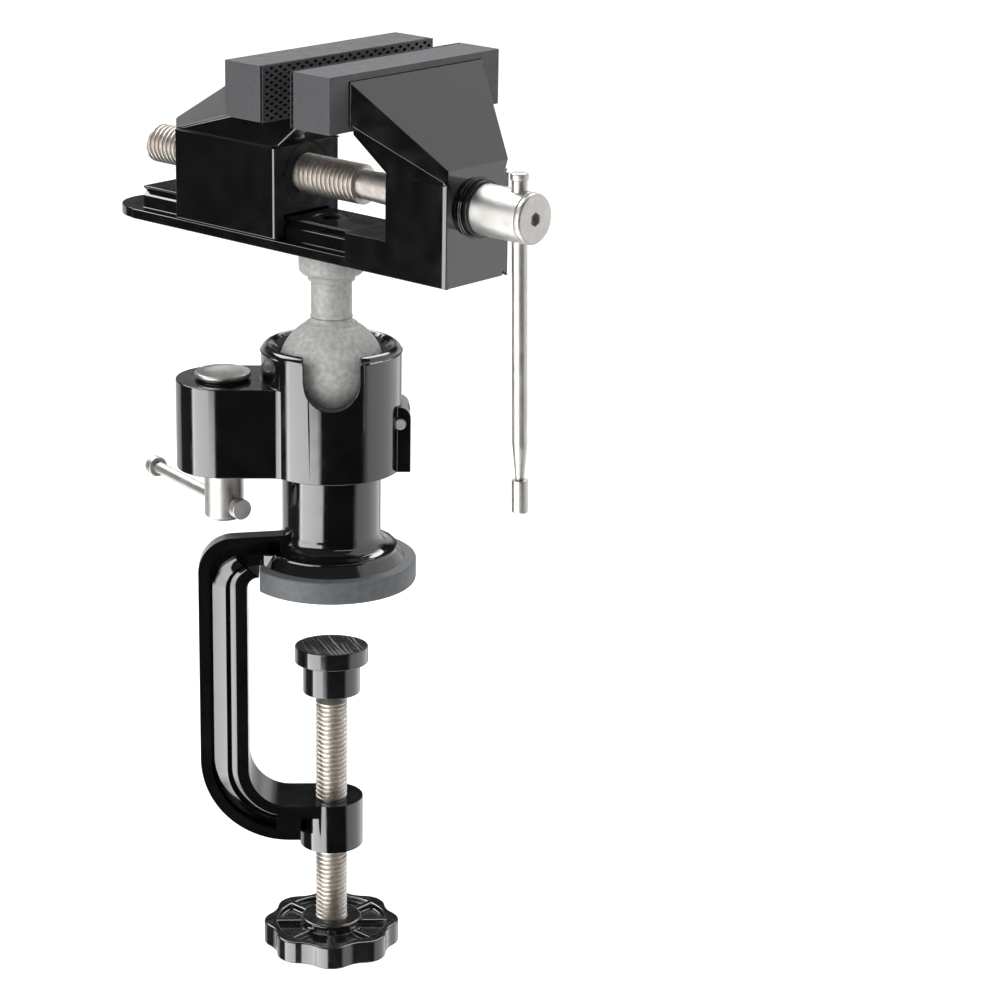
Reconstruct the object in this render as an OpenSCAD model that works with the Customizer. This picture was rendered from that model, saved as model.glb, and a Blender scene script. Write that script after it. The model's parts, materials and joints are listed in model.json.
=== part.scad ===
// Mini bench vise on a ball joint, with a clamp for the edge of a table.
// The origin is the centre of the table pad's underside. +Z is up, +X runs along the vise
// screw towards its handle and +Y along the jaws. The base stands turned about Z under the
// head: its own u axis points along its arm, its v axis along the pin of the ball clamp.

/* [Jaws] */
// Width of the jaws
jaw_width = 70; // [56:1:90]
// Height of a jaw cover
cover_height = 15.9; // [12:0.1:20]
// Thickness of a jaw cover
cover_thickness = 15; // [12:0.5:20]
// Wall of a cover at its gripping face
cover_front = 3; // [2:0.5:5]
// Wall of a cover above and below the nose that it is slipped over
cover_wall = 2; // [1.5:0.1:3]
// Opening between the jaws as drawn
jaw_opening = 10.7; // [2:0.1:40]
// Half of the width of the casting where it enters a cover
nose_half_width = 27.3; // [20:0.1:27.5]

/* [Head castings] */
// Width of the bed, the foot and both blocks
bed_width = 25.2; // [24:0.1:32]
// Thickness of the bed plate
bed_thickness = 3; // [2:0.5:5]
// Length of the bed from its round end to the ball's axis
bed_back = 84; // [80:1:95]
// Length of the rail from its free end to the ball's axis
rail_back = 70.5; // [60:0.5:74]
// Width of the rail
rail_width = 18; // [16:0.5:19]
// Height of the rail above the bed plate
rail_height = 6.7; // [6:0.1:9]
// Depth of the V-groove along each side of the rail
groove_depth = 1.4; // [0.8:0.1:1.8]
// Place of the fixed jaw's gripping face along X
grip_x = 18.1; // [16:0.1:22]
// Length of the fixed jaw's block
fixed_block_length = 23.1; // [20:0.1:30]
// Length of the sliding block under the moving jaw
slide_block_length = 41.9; // [38:0.1:44]
// Height of the sliding block above the bed plate
slide_block_height = 27.2; // [26:0.1:30]

/* [Vise screw] */
// Height of the vise screw above the underside of the bed
screw_height = 21.3; // [20.5:0.1:24]
// Outer diameter of the vise screw's thread
lead_screw_d = 11.7; // [10:0.1:12]
// Diameter of its plain shank
shank_d = 10; // [8:0.1:10]
// Length of the thread behind the ball's axis
thread_back = 72.3; // [66:0.1:80]
// Diameter of the barrel
barrel_d = 14.6; // [13.5:0.1:18]
// Length of the barrel
barrel_length = 16.4; // [14:0.1:20]
// Diameter of the handle
handle_d = 4.4; // [3.5:0.1:5]
// Distance from the screw's axis to the handle's upper end
handle_up = 12.3; // [11:0.1:20]
// Distance from the screw's axis to the handle's lower end
handle_down = 86.3; // [70:0.1:100]
// Angle that the screw is turned by as drawn
handle_turn = 1.8; // [0:0.1:5]

/* [Ball joint] */
// Diameter of the ball
ball_d = 31.34; // [28:0.01:32]
// Diameter of the neck over the ball
neck_d = 12.1; // [10:0.1:13]
// Distance from the centre of the ball to the underside of the bed
stud_height = 35.7; // [33:0.1:45]
// Diameter of the flange under the bed
stud_flange_d = 19.3; // [18:0.1:22]
// Outer diameter of the socket housing
housing_d = 41.6; // [41:0.1:46]
// Height of the housing's straight wall
housing_height = 35.8; // [35:0.1:42]
// Width of the slot for the neck
slot_width = 16.3; // [15.6:0.1:17]

/* [Ball clamp] */
// Distance from the ball's axis to the lock bolt
bolt_u = 32; // [31:0.1:36]
// Diameter of the boss round the lock bolt
boss_d = 27.9; // [24:0.1:30]
// Height of that boss
boss_height = 27; // [26:0.1:29]
// Diameter of the lock bolt
lock_bolt_d = 8; // [6:0.5:8]
// Outer diameter of the lock nut
lock_nut_d = 11.7; // [11:0.1:13]
// Diameter of the bar through the lock nut
lock_bar_d = 3.5; // [3:0.1:4]
// Distance from the lock bolt to the centre of the bar's far cap
lock_bar_far = 41.4; // [30:0.1:50]
// Direction of the bar as drawn, from the u axis
lock_bar_angle = 122.4; // [95:0.1:140]

/* [Base] */
// Angle of the base under the head, about Z
base_turn = 44; // [0:1:90]
// Diameter of the table pad
pad_d = 51; // [46:0.5:60]
// Thickness of the table pad
pad_thickness = 7; // [5:0.5:10]
// Diameter of the flange on the table pad
flange_d = 44; // [40:0.5:46]
// Diameter of the post
post_d = 29.5; // [26:0.1:30]
// Height of the underside of the socket housing
post_top = 35.5; // [32:0.5:60]
// Distance from the post's axis to the inner face of the column
throat = 25.2; // [24.8:0.1:40]
// Width of the column, seen from the side
column_width = 14.5; // [12:0.1:18]
// Thickness of the C-frame across its web
frame_thickness = 18; // [14:0.5:22]
// Height from the lower arm's top to the table pad
clamp_height = 71.3; // [64:0.1:90]
// Thickness of the lower arm
lower_arm = 11.2; // [9:0.1:13]

/* [Clamp screw] */
// Diameter of the clamp screw
clamp_screw_d = 9.7; // [8:0.1:10]
// Gap between the table pad and the swivel pad as drawn
clamp_gap = 22; // [10:0.5:40]
// Length of the clamp screw below its ball tip
clamp_screw_length = 88; // [84:0.5:100]
// Diameter of the swivel pad
swivel_d = 22.4; // [20:0.1:26]
// Angle that the swivel pad leans back by as drawn
swivel_lean = 4; // [0:0.5:5]
// Diameter of the hand knob
knob_d = 42; // [36:0.5:50]
// Number of lobes round the knob
knob_lobes = 8; // [6:1:8]

/* [Hidden] */
$fn = 64;

// Clearances between pieces that slide or turn, and between ones that only stay clear
running_gap = 0.07;
slide_gap = 0.3;
seat_gap = 0.1;
// Length by which a cut runs past the surface that it opens
past = 1;

// Heights and places of the head, measured from the underside of the bed
rail_top = bed_thickness + rail_height;
foot_top = rail_top + 0.4;
bolt_recess = 4.2;
foot_length = 15.7;
fixed_back = grip_x + cover_thickness;
block_start = fixed_back + slide_gap;
front_x = block_start + fixed_block_length;
moving_grip_x = grip_x - jaw_opening;
moving_back = moving_grip_x - cover_thickness;
slide_front = moving_back - 2.4;
slide_back = slide_front - slide_block_length;
slide_bottom = bed_thickness + slide_gap;
slide_top = bed_thickness + slide_block_height;
cover_bottom = slide_top + 12.7;
jaw_top = cover_bottom + cover_height;
nose_top = jaw_top - cover_wall - seat_gap;
nose_bottom = cover_bottom + cover_wall;
moving_nose_top = nose_top - 2.5;
flare_low_top = slide_top + 3.2;
block_neck = slide_top - 1;
overhang_low = cover_bottom - 4.5;
overhang_x = block_start - 12.9;
lead_nut_d = lead_screw_d + 6.3;
lead_nut_length = 18;
nose_depth = cover_thickness - cover_front;

// Vise screw, along X
thread_end = grip_x - 4.6;
boss_front = front_x + 1;
clip_width = 1.6;
clip_start = block_start + 0.7;
clip_recess = 2.6;
washer_start = boss_front + seat_gap;
washer_width = 1.6;
barrel_start = washer_start + washer_width;
barrel_end = barrel_start + barrel_length;
handle_x = barrel_end - 3.9;
stub_d = 8;
cap_length = 1.9;
handle_cap_top = 2;
handle_cap_bottom = 10;
handle_neck = 10.7;
handle_cap_d = handle_d + 0.3;

// Heights of the base, measured from the underside of the table pad
flange_thickness = 4;
plug_height = 4.9;
ball_z = post_top + 30.1;
bed_z = ball_z + stud_height;
socket_d = ball_d + 0.46;
bore_d = ball_d + 0.86;
plug_d = bore_d;
boss_top = post_top + boss_height;
seat_bottom = ball_z - 18.5;
lever_top = seat_bottom - seat_gap;
lever_bottom = lever_top - 4.8;
pin_u = housing_d / 2 - 0.6;
pin_z = ball_z - 15.1;
pin_d = 3.4;
washer_top = lever_bottom - 0.2;
nut_top = washer_top - 1;
nut_bottom = nut_top - 21.5;
lock_bar_z = nut_bottom + 4.8;
lock_bar_near = 9.1;
lever_slot = lock_bolt_d + 0.6;
bolt_washer_height = 0.8;
fillet = 5;
boss_fillet = 3;

// C-frame, seen from the side: u to the right, z up
column_in = -throat;
column_out = -throat - column_width;
arm_top = 15.45;
arm_slope = 0.057;
arm_bottom = 3;
corner_r = 11;
inner_r = 3.6;
lower_top = -clamp_height;
lower_bottom = lower_top - lower_arm;
bend_u = column_in + 12.5;
flange_wall = 3.2;
web_thickness = 10;
// Front part of the upper arm and its corner, which stands higher than the part behind it
rib_depth = 5.3;
rib_rise = 4.7;
rib_wall = 1.6;
clamp_boss_d = 19.4;
clamp_boss_bottom = lower_bottom - 4.3;
// Ledge over the boss: the lower part of the arm ends where it meets the boss's side
ledge = 4.2;
arm_end = clamp_boss_d / 2 - 0.3;

// Clamp screw: the centre of its ball tip is the point that the pad swivels about
tip_r = 4.2;
tip_depth = 7.5;
tip_z = -clamp_gap - tip_depth;
screw_low = tip_z - clamp_screw_length;
knob_thickness = 7.2;
knob_bottom = screw_low - 3.3;
knob_top = knob_bottom + knob_thickness;
skirt = 7.3;
swivel_bottom = tip_z - skirt;
clip_depth = 3.1;
clip_z = tip_z - clip_depth;
clip_r = 4.1;
clip_wire_r = 0.6;
nut_flats = 16;
nut_thickness = 5.4;

BLACK = [0.06, 0.06, 0.07];
CHARCOAL = [0.24, 0.25, 0.26];
STEEL = [0.75, 0.74, 0.72];
CAST_GREY = [0.6, 0.59, 0.57];
PAD_GREY = [0.33, 0.35, 0.37];

// Puts what belongs to the head above the ball joint
module head() {
    translate([0, 0, bed_z]) children();
}

// Turns what belongs to the base to its place under the head
module base() {
    rotate([0, 0, base_turn]) children();
}

// A cylinder along X, centred on the vise screw
module along_x(x0, x1, d) {
    translate([x0, 0, screw_height]) rotate([0, 90, 0]) cylinder(d = d, h = x1 - x0);
}

// A cone along X, centred on the vise screw
module cone_x(x0, x1, d0, d1) {
    translate([x0, 0, screw_height]) rotate([0, 90, 0]) cylinder(d1 = d0, d2 = d1, h = x1 - x0);
}

// A side view in X and Z, given a width in Y
module side_extrude(width) {
    rotate([90, 0, 0]) linear_extrude(width, center = true) children();
}

// A cylinder along the v axis, centred on v = 0
module along_v(u, z, d, length) {
    translate([u, 0, z]) rotate([90, 0, 0]) cylinder(d = d, h = length, center = true);
}

// Everything that the screw's own turn moves, such as the handle and its hole
module turned_with_screw() {
    translate([handle_x, 0, screw_height]) rotate([handle_turn, 0, 0]) children();
}

// Cross-section of the rail, grown by a gap for the block that slides on it
module rail_section(gap) {
    half = rail_width / 2 + gap;
    top = rail_top + gap;
    groove_top = rail_top - 0.6;
    groove_low = groove_top - 2.5;
    polygon([
        [-half, 0], [-half, groove_low], [groove_depth - half, (groove_top + groove_low) / 2],
        [-half, groove_top], [-half, top], [half, top], [half, groove_top],
        [half - groove_depth, (groove_top + groove_low) / 2], [half, groove_low], [half, 0]
    ]);
}

// The casting that widens from a block to a jaw: a side view cut out of a plan view
module flare(wide_x, narrow_x, wide_low, wide_top, narrow_low, narrow_top) {
    intersection() {
        side_extrude(jaw_width)
            polygon([
                [wide_x, wide_low], [wide_x, wide_top], [narrow_x, narrow_top], [narrow_x, narrow_low]
            ]);
        linear_extrude(jaw_top)
            polygon([
                [wide_x, -nose_half_width], [wide_x, nose_half_width],
                [narrow_x, bed_width / 2], [narrow_x, -bed_width / 2]
            ]);
    }
}

// The part of a casting that a cover is slipped over
module nose(x0, x1, top) {
    translate([x0, -nose_half_width, nose_bottom])
        cube([x1 - x0, 2 * nose_half_width, top - nose_bottom]);
}

// A jaw cover between two places along X, open at its back for the nose
module jaw_cover(x0, pocket_x0, pocket_x1, top) {
    color(CHARCOAL)
        difference() {
            translate([x0, -jaw_width / 2, cover_bottom])
                cube([cover_thickness, jaw_width, cover_height]);
            translate([pocket_x0, -nose_half_width - seat_gap, nose_bottom - seat_gap])
                cube([pocket_x1 - pocket_x0, 2 * (nose_half_width + seat_gap),
                      top - nose_bottom + 2 * seat_gap]);
        }
}

// Bed plate with a round end, rail, foot, block and flare, all one casting
module fixed_jaw() {
    end_r = bed_width / 2;
    color(BLACK) head()
        difference() {
            union() {
                linear_extrude(bed_thickness) {
                    translate([end_r - bed_back, 0]) circle(end_r);
                    translate([end_r - bed_back, -end_r]) square([front_x + bed_back - end_r, bed_width]);
                }
                translate([-rail_back, 0, 0]) rotate([90, 0, 90])
                    linear_extrude(rail_back + grip_x) rail_section(0);
                translate([block_start - foot_length, -end_r, 0])
                    cube([foot_length + past, bed_width, foot_top]);
                side_extrude(bed_width)
                    polygon([
                        [block_start, 0], [front_x, 0], [front_x, flare_low_top],
                        [fixed_back, nose_top], [fixed_back, cover_bottom - slide_gap],
                        [overhang_x, cover_bottom - slide_gap],
                        [overhang_x, overhang_low],
                        [block_start, block_neck]
                    ]);
                flare(fixed_back, front_x, nose_bottom, nose_top,
                      block_neck, flare_low_top);
                nose(fixed_back + seat_gap - nose_depth, fixed_back + past / 2, nose_top);
                along_x(front_x - past, boss_front, barrel_d + 2.6);
            }
            along_x(block_start - past, boss_front + past, shank_d + 2 * running_gap);
            along_x(block_start - past, block_start + clip_recess, shank_d + 6);
            translate([0, 0, rail_top - bolt_recess]) cylinder(d = 10.4, h = bolt_recess + past);
            translate([0, 0, -past]) cylinder(d = 6 + 2 * running_gap, h = rail_top + past);
        }
}

module fixed_jaw_cover() {
    head() jaw_cover(grip_x, fixed_back - nose_depth, fixed_back + past, nose_top);
}

// Block that slides on the rail, with the flare that carries the moving cover
module moving_jaw() {
    color(BLACK) head()
        difference() {
            union() {
                translate([slide_back, -bed_width / 2, slide_bottom])
                    cube([slide_block_length, bed_width, slide_top - slide_bottom]);
                side_extrude(bed_width)
                    polygon([
                        [slide_back, slide_top - past], [slide_back, flare_low_top],
                        [moving_back, moving_nose_top], [moving_back, cover_bottom - slide_gap],
                        [moving_grip_x - 2.4, cover_bottom - slide_gap],
                        [slide_front, slide_top], [slide_front, slide_top - past]
                    ]);
                flare(moving_back, slide_back, cover_bottom + 0.4, moving_nose_top,
                      slide_top, flare_low_top);
                nose(moving_back - past / 2, moving_back + nose_depth - seat_gap, moving_nose_top);
            }
            translate([slide_back - past, 0, 0]) rotate([90, 0, 90])
                linear_extrude(slide_block_length + 2 * past) rail_section(slide_gap);
            along_x(slide_back - past, slide_front + past, lead_screw_d + 0.7);
            along_x(slide_front - lead_nut_length, slide_front + past, lead_nut_d);
        }
}

module moving_jaw_cover() {
    head() jaw_cover(moving_back, moving_back - past, moving_back + nose_depth, moving_nose_top);
}

// Threaded bush in the front of the sliding block, shown as a plain running bore
module jaw_nut() {
    color(STEEL) head()
        difference() {
            along_x(slide_front - lead_nut_length, slide_front, lead_nut_d);
            along_x(slide_front - lead_nut_length - past, slide_front + past,
                    lead_screw_d + 2 * running_gap);
        }
}

// Vise screw: thread, shank with the groove for its clip, and the stub in the barrel
module lead_screw() {
    chamfer = 1.2;
    color(STEEL) head()
        difference() {
            union() {
                cone_x(-thread_back, chamfer - thread_back, lead_screw_d - 2 * chamfer, lead_screw_d);
                along_x(chamfer - thread_back, thread_end, lead_screw_d);
                along_x(thread_end - past, barrel_start, shank_d);
                along_x(barrel_start - past, handle_x - 6, stub_d);
            }
            difference() {
                along_x(clip_start, clip_start + clip_width, shank_d + past);
                along_x(clip_start - past, clip_start + clip_width + past, stub_d);
            }
        }
}

// Open ring that holds the screw in the fixed jaw
module screw_clip() {
    color(STEEL) head()
        difference() {
            along_x(clip_start, clip_start + clip_width, shank_d + 4);
            along_x(clip_start - past, clip_start + clip_width + past, stub_d);
            translate([clip_start - past, -2.5, screw_height - shank_d])
                cube([clip_width + 2 * past, 5, shank_d]);
        }
}

module thrust_washer() {
    color(BLACK) head()
        difference() {
            along_x(washer_start, washer_start + washer_width, barrel_d + 1.8);
            along_x(washer_start - past, barrel_start + past, shank_d);
        }
}

// Barrel on the screw's stub, cross-drilled for the handle
module screw_barrel() {
    color(STEEL) head()
        difference() {
            along_x(barrel_start, barrel_end, barrel_d);
            along_x(barrel_start - past, handle_x - 6, stub_d);
            along_x(barrel_end - 1.2, barrel_end + past, stub_d);
            turned_with_screw() cylinder(d = handle_d + 2 * running_gap, h = 2 * barrel_d, center = true);
        }
}

// Button on the end of the barrel, with a hexagon socket
module end_cap() {
    edge = 0.5;
    color(STEEL) head()
        difference() {
            union() {
                along_x(barrel_end, barrel_end + cap_length - edge, barrel_d - 0.2);
                cone_x(barrel_end + cap_length - edge, barrel_end + cap_length,
                       barrel_d - 0.2, barrel_d - 0.2 - 2 * edge);
                along_x(barrel_end - 1.2, barrel_end + past, stub_d);
            }
            translate([barrel_end + cap_length - 1.7, 0, screw_height]) rotate([0, 90, 0])
                cylinder(d = 4, h = 1.7 + past, $fn = 6);
        }
}

// Sliding handle with a tapered neck and a spigot at each end for its caps
module handle_bar() {
    neck_low = -handle_down + handle_cap_bottom;
    neck_end_d = 2.5;
    bar_top = handle_up - handle_cap_top;
    color(STEEL) head() turned_with_screw() {
        translate([0, 0, neck_low + handle_neck])
            cylinder(d = handle_d, h = bar_top - neck_low - handle_neck);
        translate([0, 0, neck_low]) cylinder(d1 = neck_end_d, d2 = handle_d, h = handle_neck);
        translate([0, 0, neck_low - 4]) cylinder(d = neck_end_d, h = 4 + past / 2);
        translate([0, 0, bar_top - past]) cylinder(d = neck_end_d, h = past + 1.2);
    }
}

// The handle's caps: a flat one above and a long one below
module handle_caps() {
    chamfer = 0.4;
    color(STEEL) head() turned_with_screw() {
        translate([0, 0, handle_up - handle_cap_top])
            difference() {
                union() {
                    cylinder(d = handle_d + 0.8, h = handle_cap_top - chamfer);
                    translate([0, 0, handle_cap_top - chamfer])
                        cylinder(d1 = handle_d + 0.8, d2 = handle_d, h = chamfer);
                }
                translate([0, 0, -past]) cylinder(d = 2.5, h = past + 1.2);
            }
        translate([0, 0, -handle_down])
            difference() {
                union() {
                    cylinder(d1 = handle_cap_d - 2 * chamfer, d2 = handle_cap_d, h = chamfer);
                    translate([0, 0, chamfer])
                        cylinder(d = handle_cap_d, h = handle_cap_bottom - chamfer);
                }
                translate([0, 0, handle_cap_bottom - 4]) cylinder(d = 2.5, h = 4 + past);
            }
    }
}

// Cast ball with a neck, a bead and the flange that the bed is screwed to
module ball_stud() {
    neck_r = neck_d / 2;
    flange_r = stud_flange_d / 2;
    bead_z = stud_height - 8.9;
    flange_z = stud_height - 7.1;
    joint_z = sqrt(pow(ball_d / 2, 2) - pow(neck_r, 2));
    blend = 1.5;
    edge_r = 2;
    tapped = 12.3;
    color(CAST_GREY) translate([0, 0, ball_z])
        difference() {
            union() {
                sphere(d = ball_d, $fn = 96);
                rotate_extrude()
                    union() {
                        square([neck_r, stud_height - past]);
                        difference() {
                            translate([neck_r - past, joint_z - 1]) square([past + blend, blend + 1]);
                            translate([neck_r + blend, joint_z + blend - 0.3]) circle(blend);
                        }
                        translate([0, bead_z]) square([neck_r + 0.9, flange_z - bead_z + edge_r]);
                        translate([0, flange_z])
                            square([flange_r - edge_r, stud_height - flange_z - seat_gap]);
                        translate([flange_r - edge_r, flange_z + edge_r]) circle(edge_r);
                        translate([0, flange_z + edge_r])
                            square([flange_r, stud_height - flange_z - edge_r - seat_gap]);
                    }
            }
            translate([0, 0, stud_height - tapped]) cylinder(d = 6, h = tapped + past);
        }
}

// Cap screw whose head lies in the top of the rail
module stud_bolt() {
    head_low = bed_z + rail_top - bolt_recess;
    reach = 11.8;
    color(STEEL)
        difference() {
            union() {
                translate([0, 0, head_low]) cylinder(d = 10, h = 4);
                translate([0, 0, bed_z - reach]) cylinder(d = 6, h = head_low - bed_z + reach);
            }
            translate([0, 0, head_low + 1.5]) cylinder(d = 5.8, h = 2.5 + past, $fn = 6);
        }
}

// Fillet between the flat side of the boss and the round housing, on one side
module boss_blend(side) {
    r = housing_d / 2;
    half = boss_d / 2;
    centre_v = half + boss_fillet;
    centre_u = -sqrt(pow(r + boss_fillet, 2) - pow(centre_v, 2));
    touch = r / (r + boss_fillet);
    mirror([0, side > 0 ? 1 : 0])
        difference() {
            polygon([
                [centre_u, past - half], [centre_u, -centre_v], [centre_u * touch, -centre_v * touch],
                [centre_u * touch + past, past - half]
            ]);
            translate([centre_u, -centre_v]) circle(boss_fillet);
        }
}

// Cast cup round the ball, with the slot for the neck, the boss for the lock bolt and
// the lug for the lever's pin. A channel for the lever crosses it below the ball.
module socket_housing() {
    r = housing_d / 2;
    rim = 2.2;
    boss_r = boss_d / 2;
    lug_u = r + 2.6;
    lug_top = pin_z + 5.2;
    lug_r = 3.7;
    slot_z = ball_z + 0.4;
    slot_top = housing_height + rim + past;
    // The mouth opens as a cone from this height over the ball's centre
    mouth = 4.9;
    mouth_r = sqrt(pow(socket_d / 2, 2) - pow(mouth, 2));
    mouth_height = post_top + housing_height + rim - ball_z - mouth;
    channel = 11;
    channel_roof = lever_top + 1;
    eye_slot = 7.2;
    eye_roof = lug_top - 1.9;
    color(BLACK) base()
        difference() {
            union() {
                translate([0, 0, post_top])
                    rotate_extrude() {
                        square([r, housing_height]);
                        translate([r - rim, housing_height - 0.2]) circle(rim);
                        square([r - rim, housing_height + rim - 0.2]);
                    }
                translate([-bolt_u, 0, post_top]) cylinder(d = boss_d, h = boss_height);
                translate([-bolt_u, -boss_r, post_top])
                    cube([bolt_u - bore_d / 2, boss_d, boss_height]);
                translate([0, 0, post_top]) linear_extrude(boss_height) {
                    boss_blend(-1);
                    boss_blend(1);
                }
                side_extrude(15) {
                    translate([0, post_top]) square([lug_u, lug_top - lug_r - post_top]);
                    translate([0, post_top]) square([lug_u - lug_r, lug_top - post_top]);
                    translate([lug_u - lug_r, lug_top - lug_r]) circle(lug_r);
                }
            }
            // Bore for the post's plug and the seat, and the socket above it
            translate([0, 0, post_top - past]) cylinder(d = bore_d, h = ball_z - post_top + past);
            translate([0, 0, ball_z]) sphere(d = socket_d, $fn = 96);
            translate([0, 0, ball_z + mouth]) cylinder(r1 = mouth_r, r2 = r - rim, h = mouth_height);
            // Slot for the neck, towards the front
            translate([0, 0, slot_z]) rotate([90, 0, 0]) cylinder(d = slot_width, h = r + past);
            translate([-slot_width / 2, -r - past, slot_z]) cube([slot_width, r + past, slot_top]);
            // Channel for the lever, and the bores for the lock nut and its bolt
            translate([-bolt_u - 6, -channel / 2, post_top - past])
                cube([bolt_u, channel, channel_roof - post_top + past]);
            translate([0, -eye_slot / 2, post_top - past])
                cube([lug_u + past, eye_slot, eye_roof - post_top + past]);
            translate([-bolt_u, 0, post_top - past])
                cylinder(d = lock_nut_d + 0.8, h = channel_roof - post_top + past);
            translate([-bolt_u, 0, post_top]) cylinder(d = lock_bolt_d, h = boss_height + past);
            along_v(pin_u, pin_z, pin_d, 20);
            grub_screws(4);
        }
}

// The grub screws' places round the back of the housing, from the post's groove outwards
module grub_screws(length_past) {
    groove_r = plug_d / 2 - 1.1;
    for (angle = [60, 120])
        rotate([0, 0, angle]) translate([groove_r, 0, post_top + plug_height / 2]) rotate([0, 90, 0])
            cylinder(d = 3, h = housing_d / 2 - groove_r - 0.2 + length_past);
}

module housing_screws() {
    socket_r = housing_d / 2 - 2;
    color(STEEL) base()
        difference() {
            grub_screws(0);
            for (angle = [60, 120])
                rotate([0, 0, angle]) translate([socket_r, 0, post_top + plug_height / 2])
                    rotate([0, 90, 0]) cylinder(d = 1.7, h = 2 + past, $fn = 6);
        }
}

// Cup that the lever presses up against the ball
module ball_seat() {
    color(CAST_GREY)
        difference() {
            translate([0, 0, seat_bottom]) cylinder(d = bore_d - 0.3, h = 8.9);
            translate([0, 0, ball_z]) sphere(d = ball_d + 0.36, $fn = 96);
        }
}

// Rocking bar: forked round the lock bolt, flat under the seat, with an eye at its pin
module clamp_lever() {
    eye_r = 3;
    lever_width = 10.4;
    fork = -bolt_u - 5;
    pad_end = bore_d / 2 - 2.6;
    color(STEEL) base()
        difference() {
            union() {
                translate([fork, -lever_width / 2, lever_bottom])
                    cube([pad_end - fork, lever_width, lever_top - lever_bottom]);
                side_extrude(6.6) {
                    polygon([
                        [pad_end - 1, lever_bottom], [pin_u - 2, lever_bottom],
                        [pin_u + eye_r, pin_z - 2.4], [pin_u + eye_r, pin_z],
                        [pin_u - eye_r, pin_z], [pin_u - eye_r, lever_top], [pad_end - 1, lever_top]
                    ]);
                    translate([pin_u, pin_z]) circle(eye_r);
                }
            }
            along_v(pin_u, pin_z, pin_d + 2 * running_gap, 20);
            translate([-bolt_u, 0, lever_bottom - past]) cylinder(d = lever_slot, h = 10);
            translate([fork - past, -lever_slot / 2, lever_bottom - past]) cube([6, lever_slot, 10]);
        }
}

// Pin through the lug, with its ends just proud of it
module lever_pin() {
    color(STEEL) base() along_v(pin_u, pin_z, pin_d, 16.2);
}

// Bolt that hangs in the boss: a dished head above, its thread below
module lock_bolt() {
    head_z = boss_top + bolt_washer_height;
    head_d = 16.7;
    head_edge = 1;
    dish_r = 30;
    dish_low = 0.6;
    bolt_low = lock_bar_z + 3.2;
    color(STEEL) base() translate([-bolt_u, 0, 0])
        difference() {
            union() {
                translate([0, 0, bolt_low]) cylinder(d = lock_bolt_d, h = head_z - bolt_low);
                translate([0, 0, head_z]) cylinder(d = head_d, h = head_edge);
                translate([0, 0, head_z + head_edge])
                    cylinder(d1 = head_d, d2 = head_d - 0.8, h = 0.3);
            }
            translate([0, 0, head_z + dish_low + dish_r]) sphere(r = dish_r, $fn = 96);
        }
}

module bolt_washer() {
    color(BLACK) base() translate([-bolt_u, 0, boss_top])
        difference() {
            cylinder(d = 15.6, h = bolt_washer_height);
            translate([0, 0, -past]) cylinder(d = lock_bolt_d, h = 3);
        }
}

// Washer between the turning nut and the lever
module lock_washer() {
    color(STEEL) base() translate([-bolt_u, 0, nut_top])
        difference() {
            cylinder(d = lock_nut_d, h = washer_top - nut_top);
            translate([0, 0, -past]) cylinder(d = lock_bolt_d + 0.4, h = 4);
        }
}

// Long nut that is turned with the bar through its lower end
module lock_nut() {
    chamfer = 0.8;
    color(STEEL) base() translate([-bolt_u, 0, 0])
        difference() {
            union() {
                translate([0, 0, nut_bottom + chamfer])
                    cylinder(d = lock_nut_d, h = nut_top - nut_bottom - chamfer - seat_gap);
                translate([0, 0, nut_bottom])
                    cylinder(d1 = lock_nut_d - 2 * chamfer, d2 = lock_nut_d, h = chamfer);
            }
            translate([0, 0, lock_bar_z + 2.7])
                cylinder(d = lock_bolt_d + 2 * running_gap, h = nut_top - lock_bar_z);
            lock_bar_line(-20, 20, lock_bar_d + 2 * running_gap);
        }
}

// A cylinder along the bar of the lock nut, from the bolt's axis
module lock_bar_line(from, to, d) {
    translate([0, 0, lock_bar_z]) rotate([0, 90, lock_bar_angle]) translate([0, 0, from])
        cylinder(d = d, h = to - from);
}

module lock_bar() {
    color(STEEL) base() translate([-bolt_u, 0, 0])
        lock_bar_line(-lock_bar_near, lock_bar_far, lock_bar_d);
}

// One cap on each end of the bar
module lock_bar_caps() {
    cap = 3;
    cap_d = 6.2;
    color(STEEL) base() translate([-bolt_u, 0, 0])
        for (centre = [-lock_bar_near, lock_bar_far])
            difference() {
                lock_bar_line(centre - cap / 2, centre + cap / 2, cap_d);
                lock_bar_line(centre > 0 ? centre - cap : centre, centre > 0 ? centre : centre + cap,
                              lock_bar_d);
            }
}

// Height of the upper arm's top edge, which rises a little towards the post
function arm_z(u) = arm_top + arm_slope * (u - column_out - corner_r);

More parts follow.
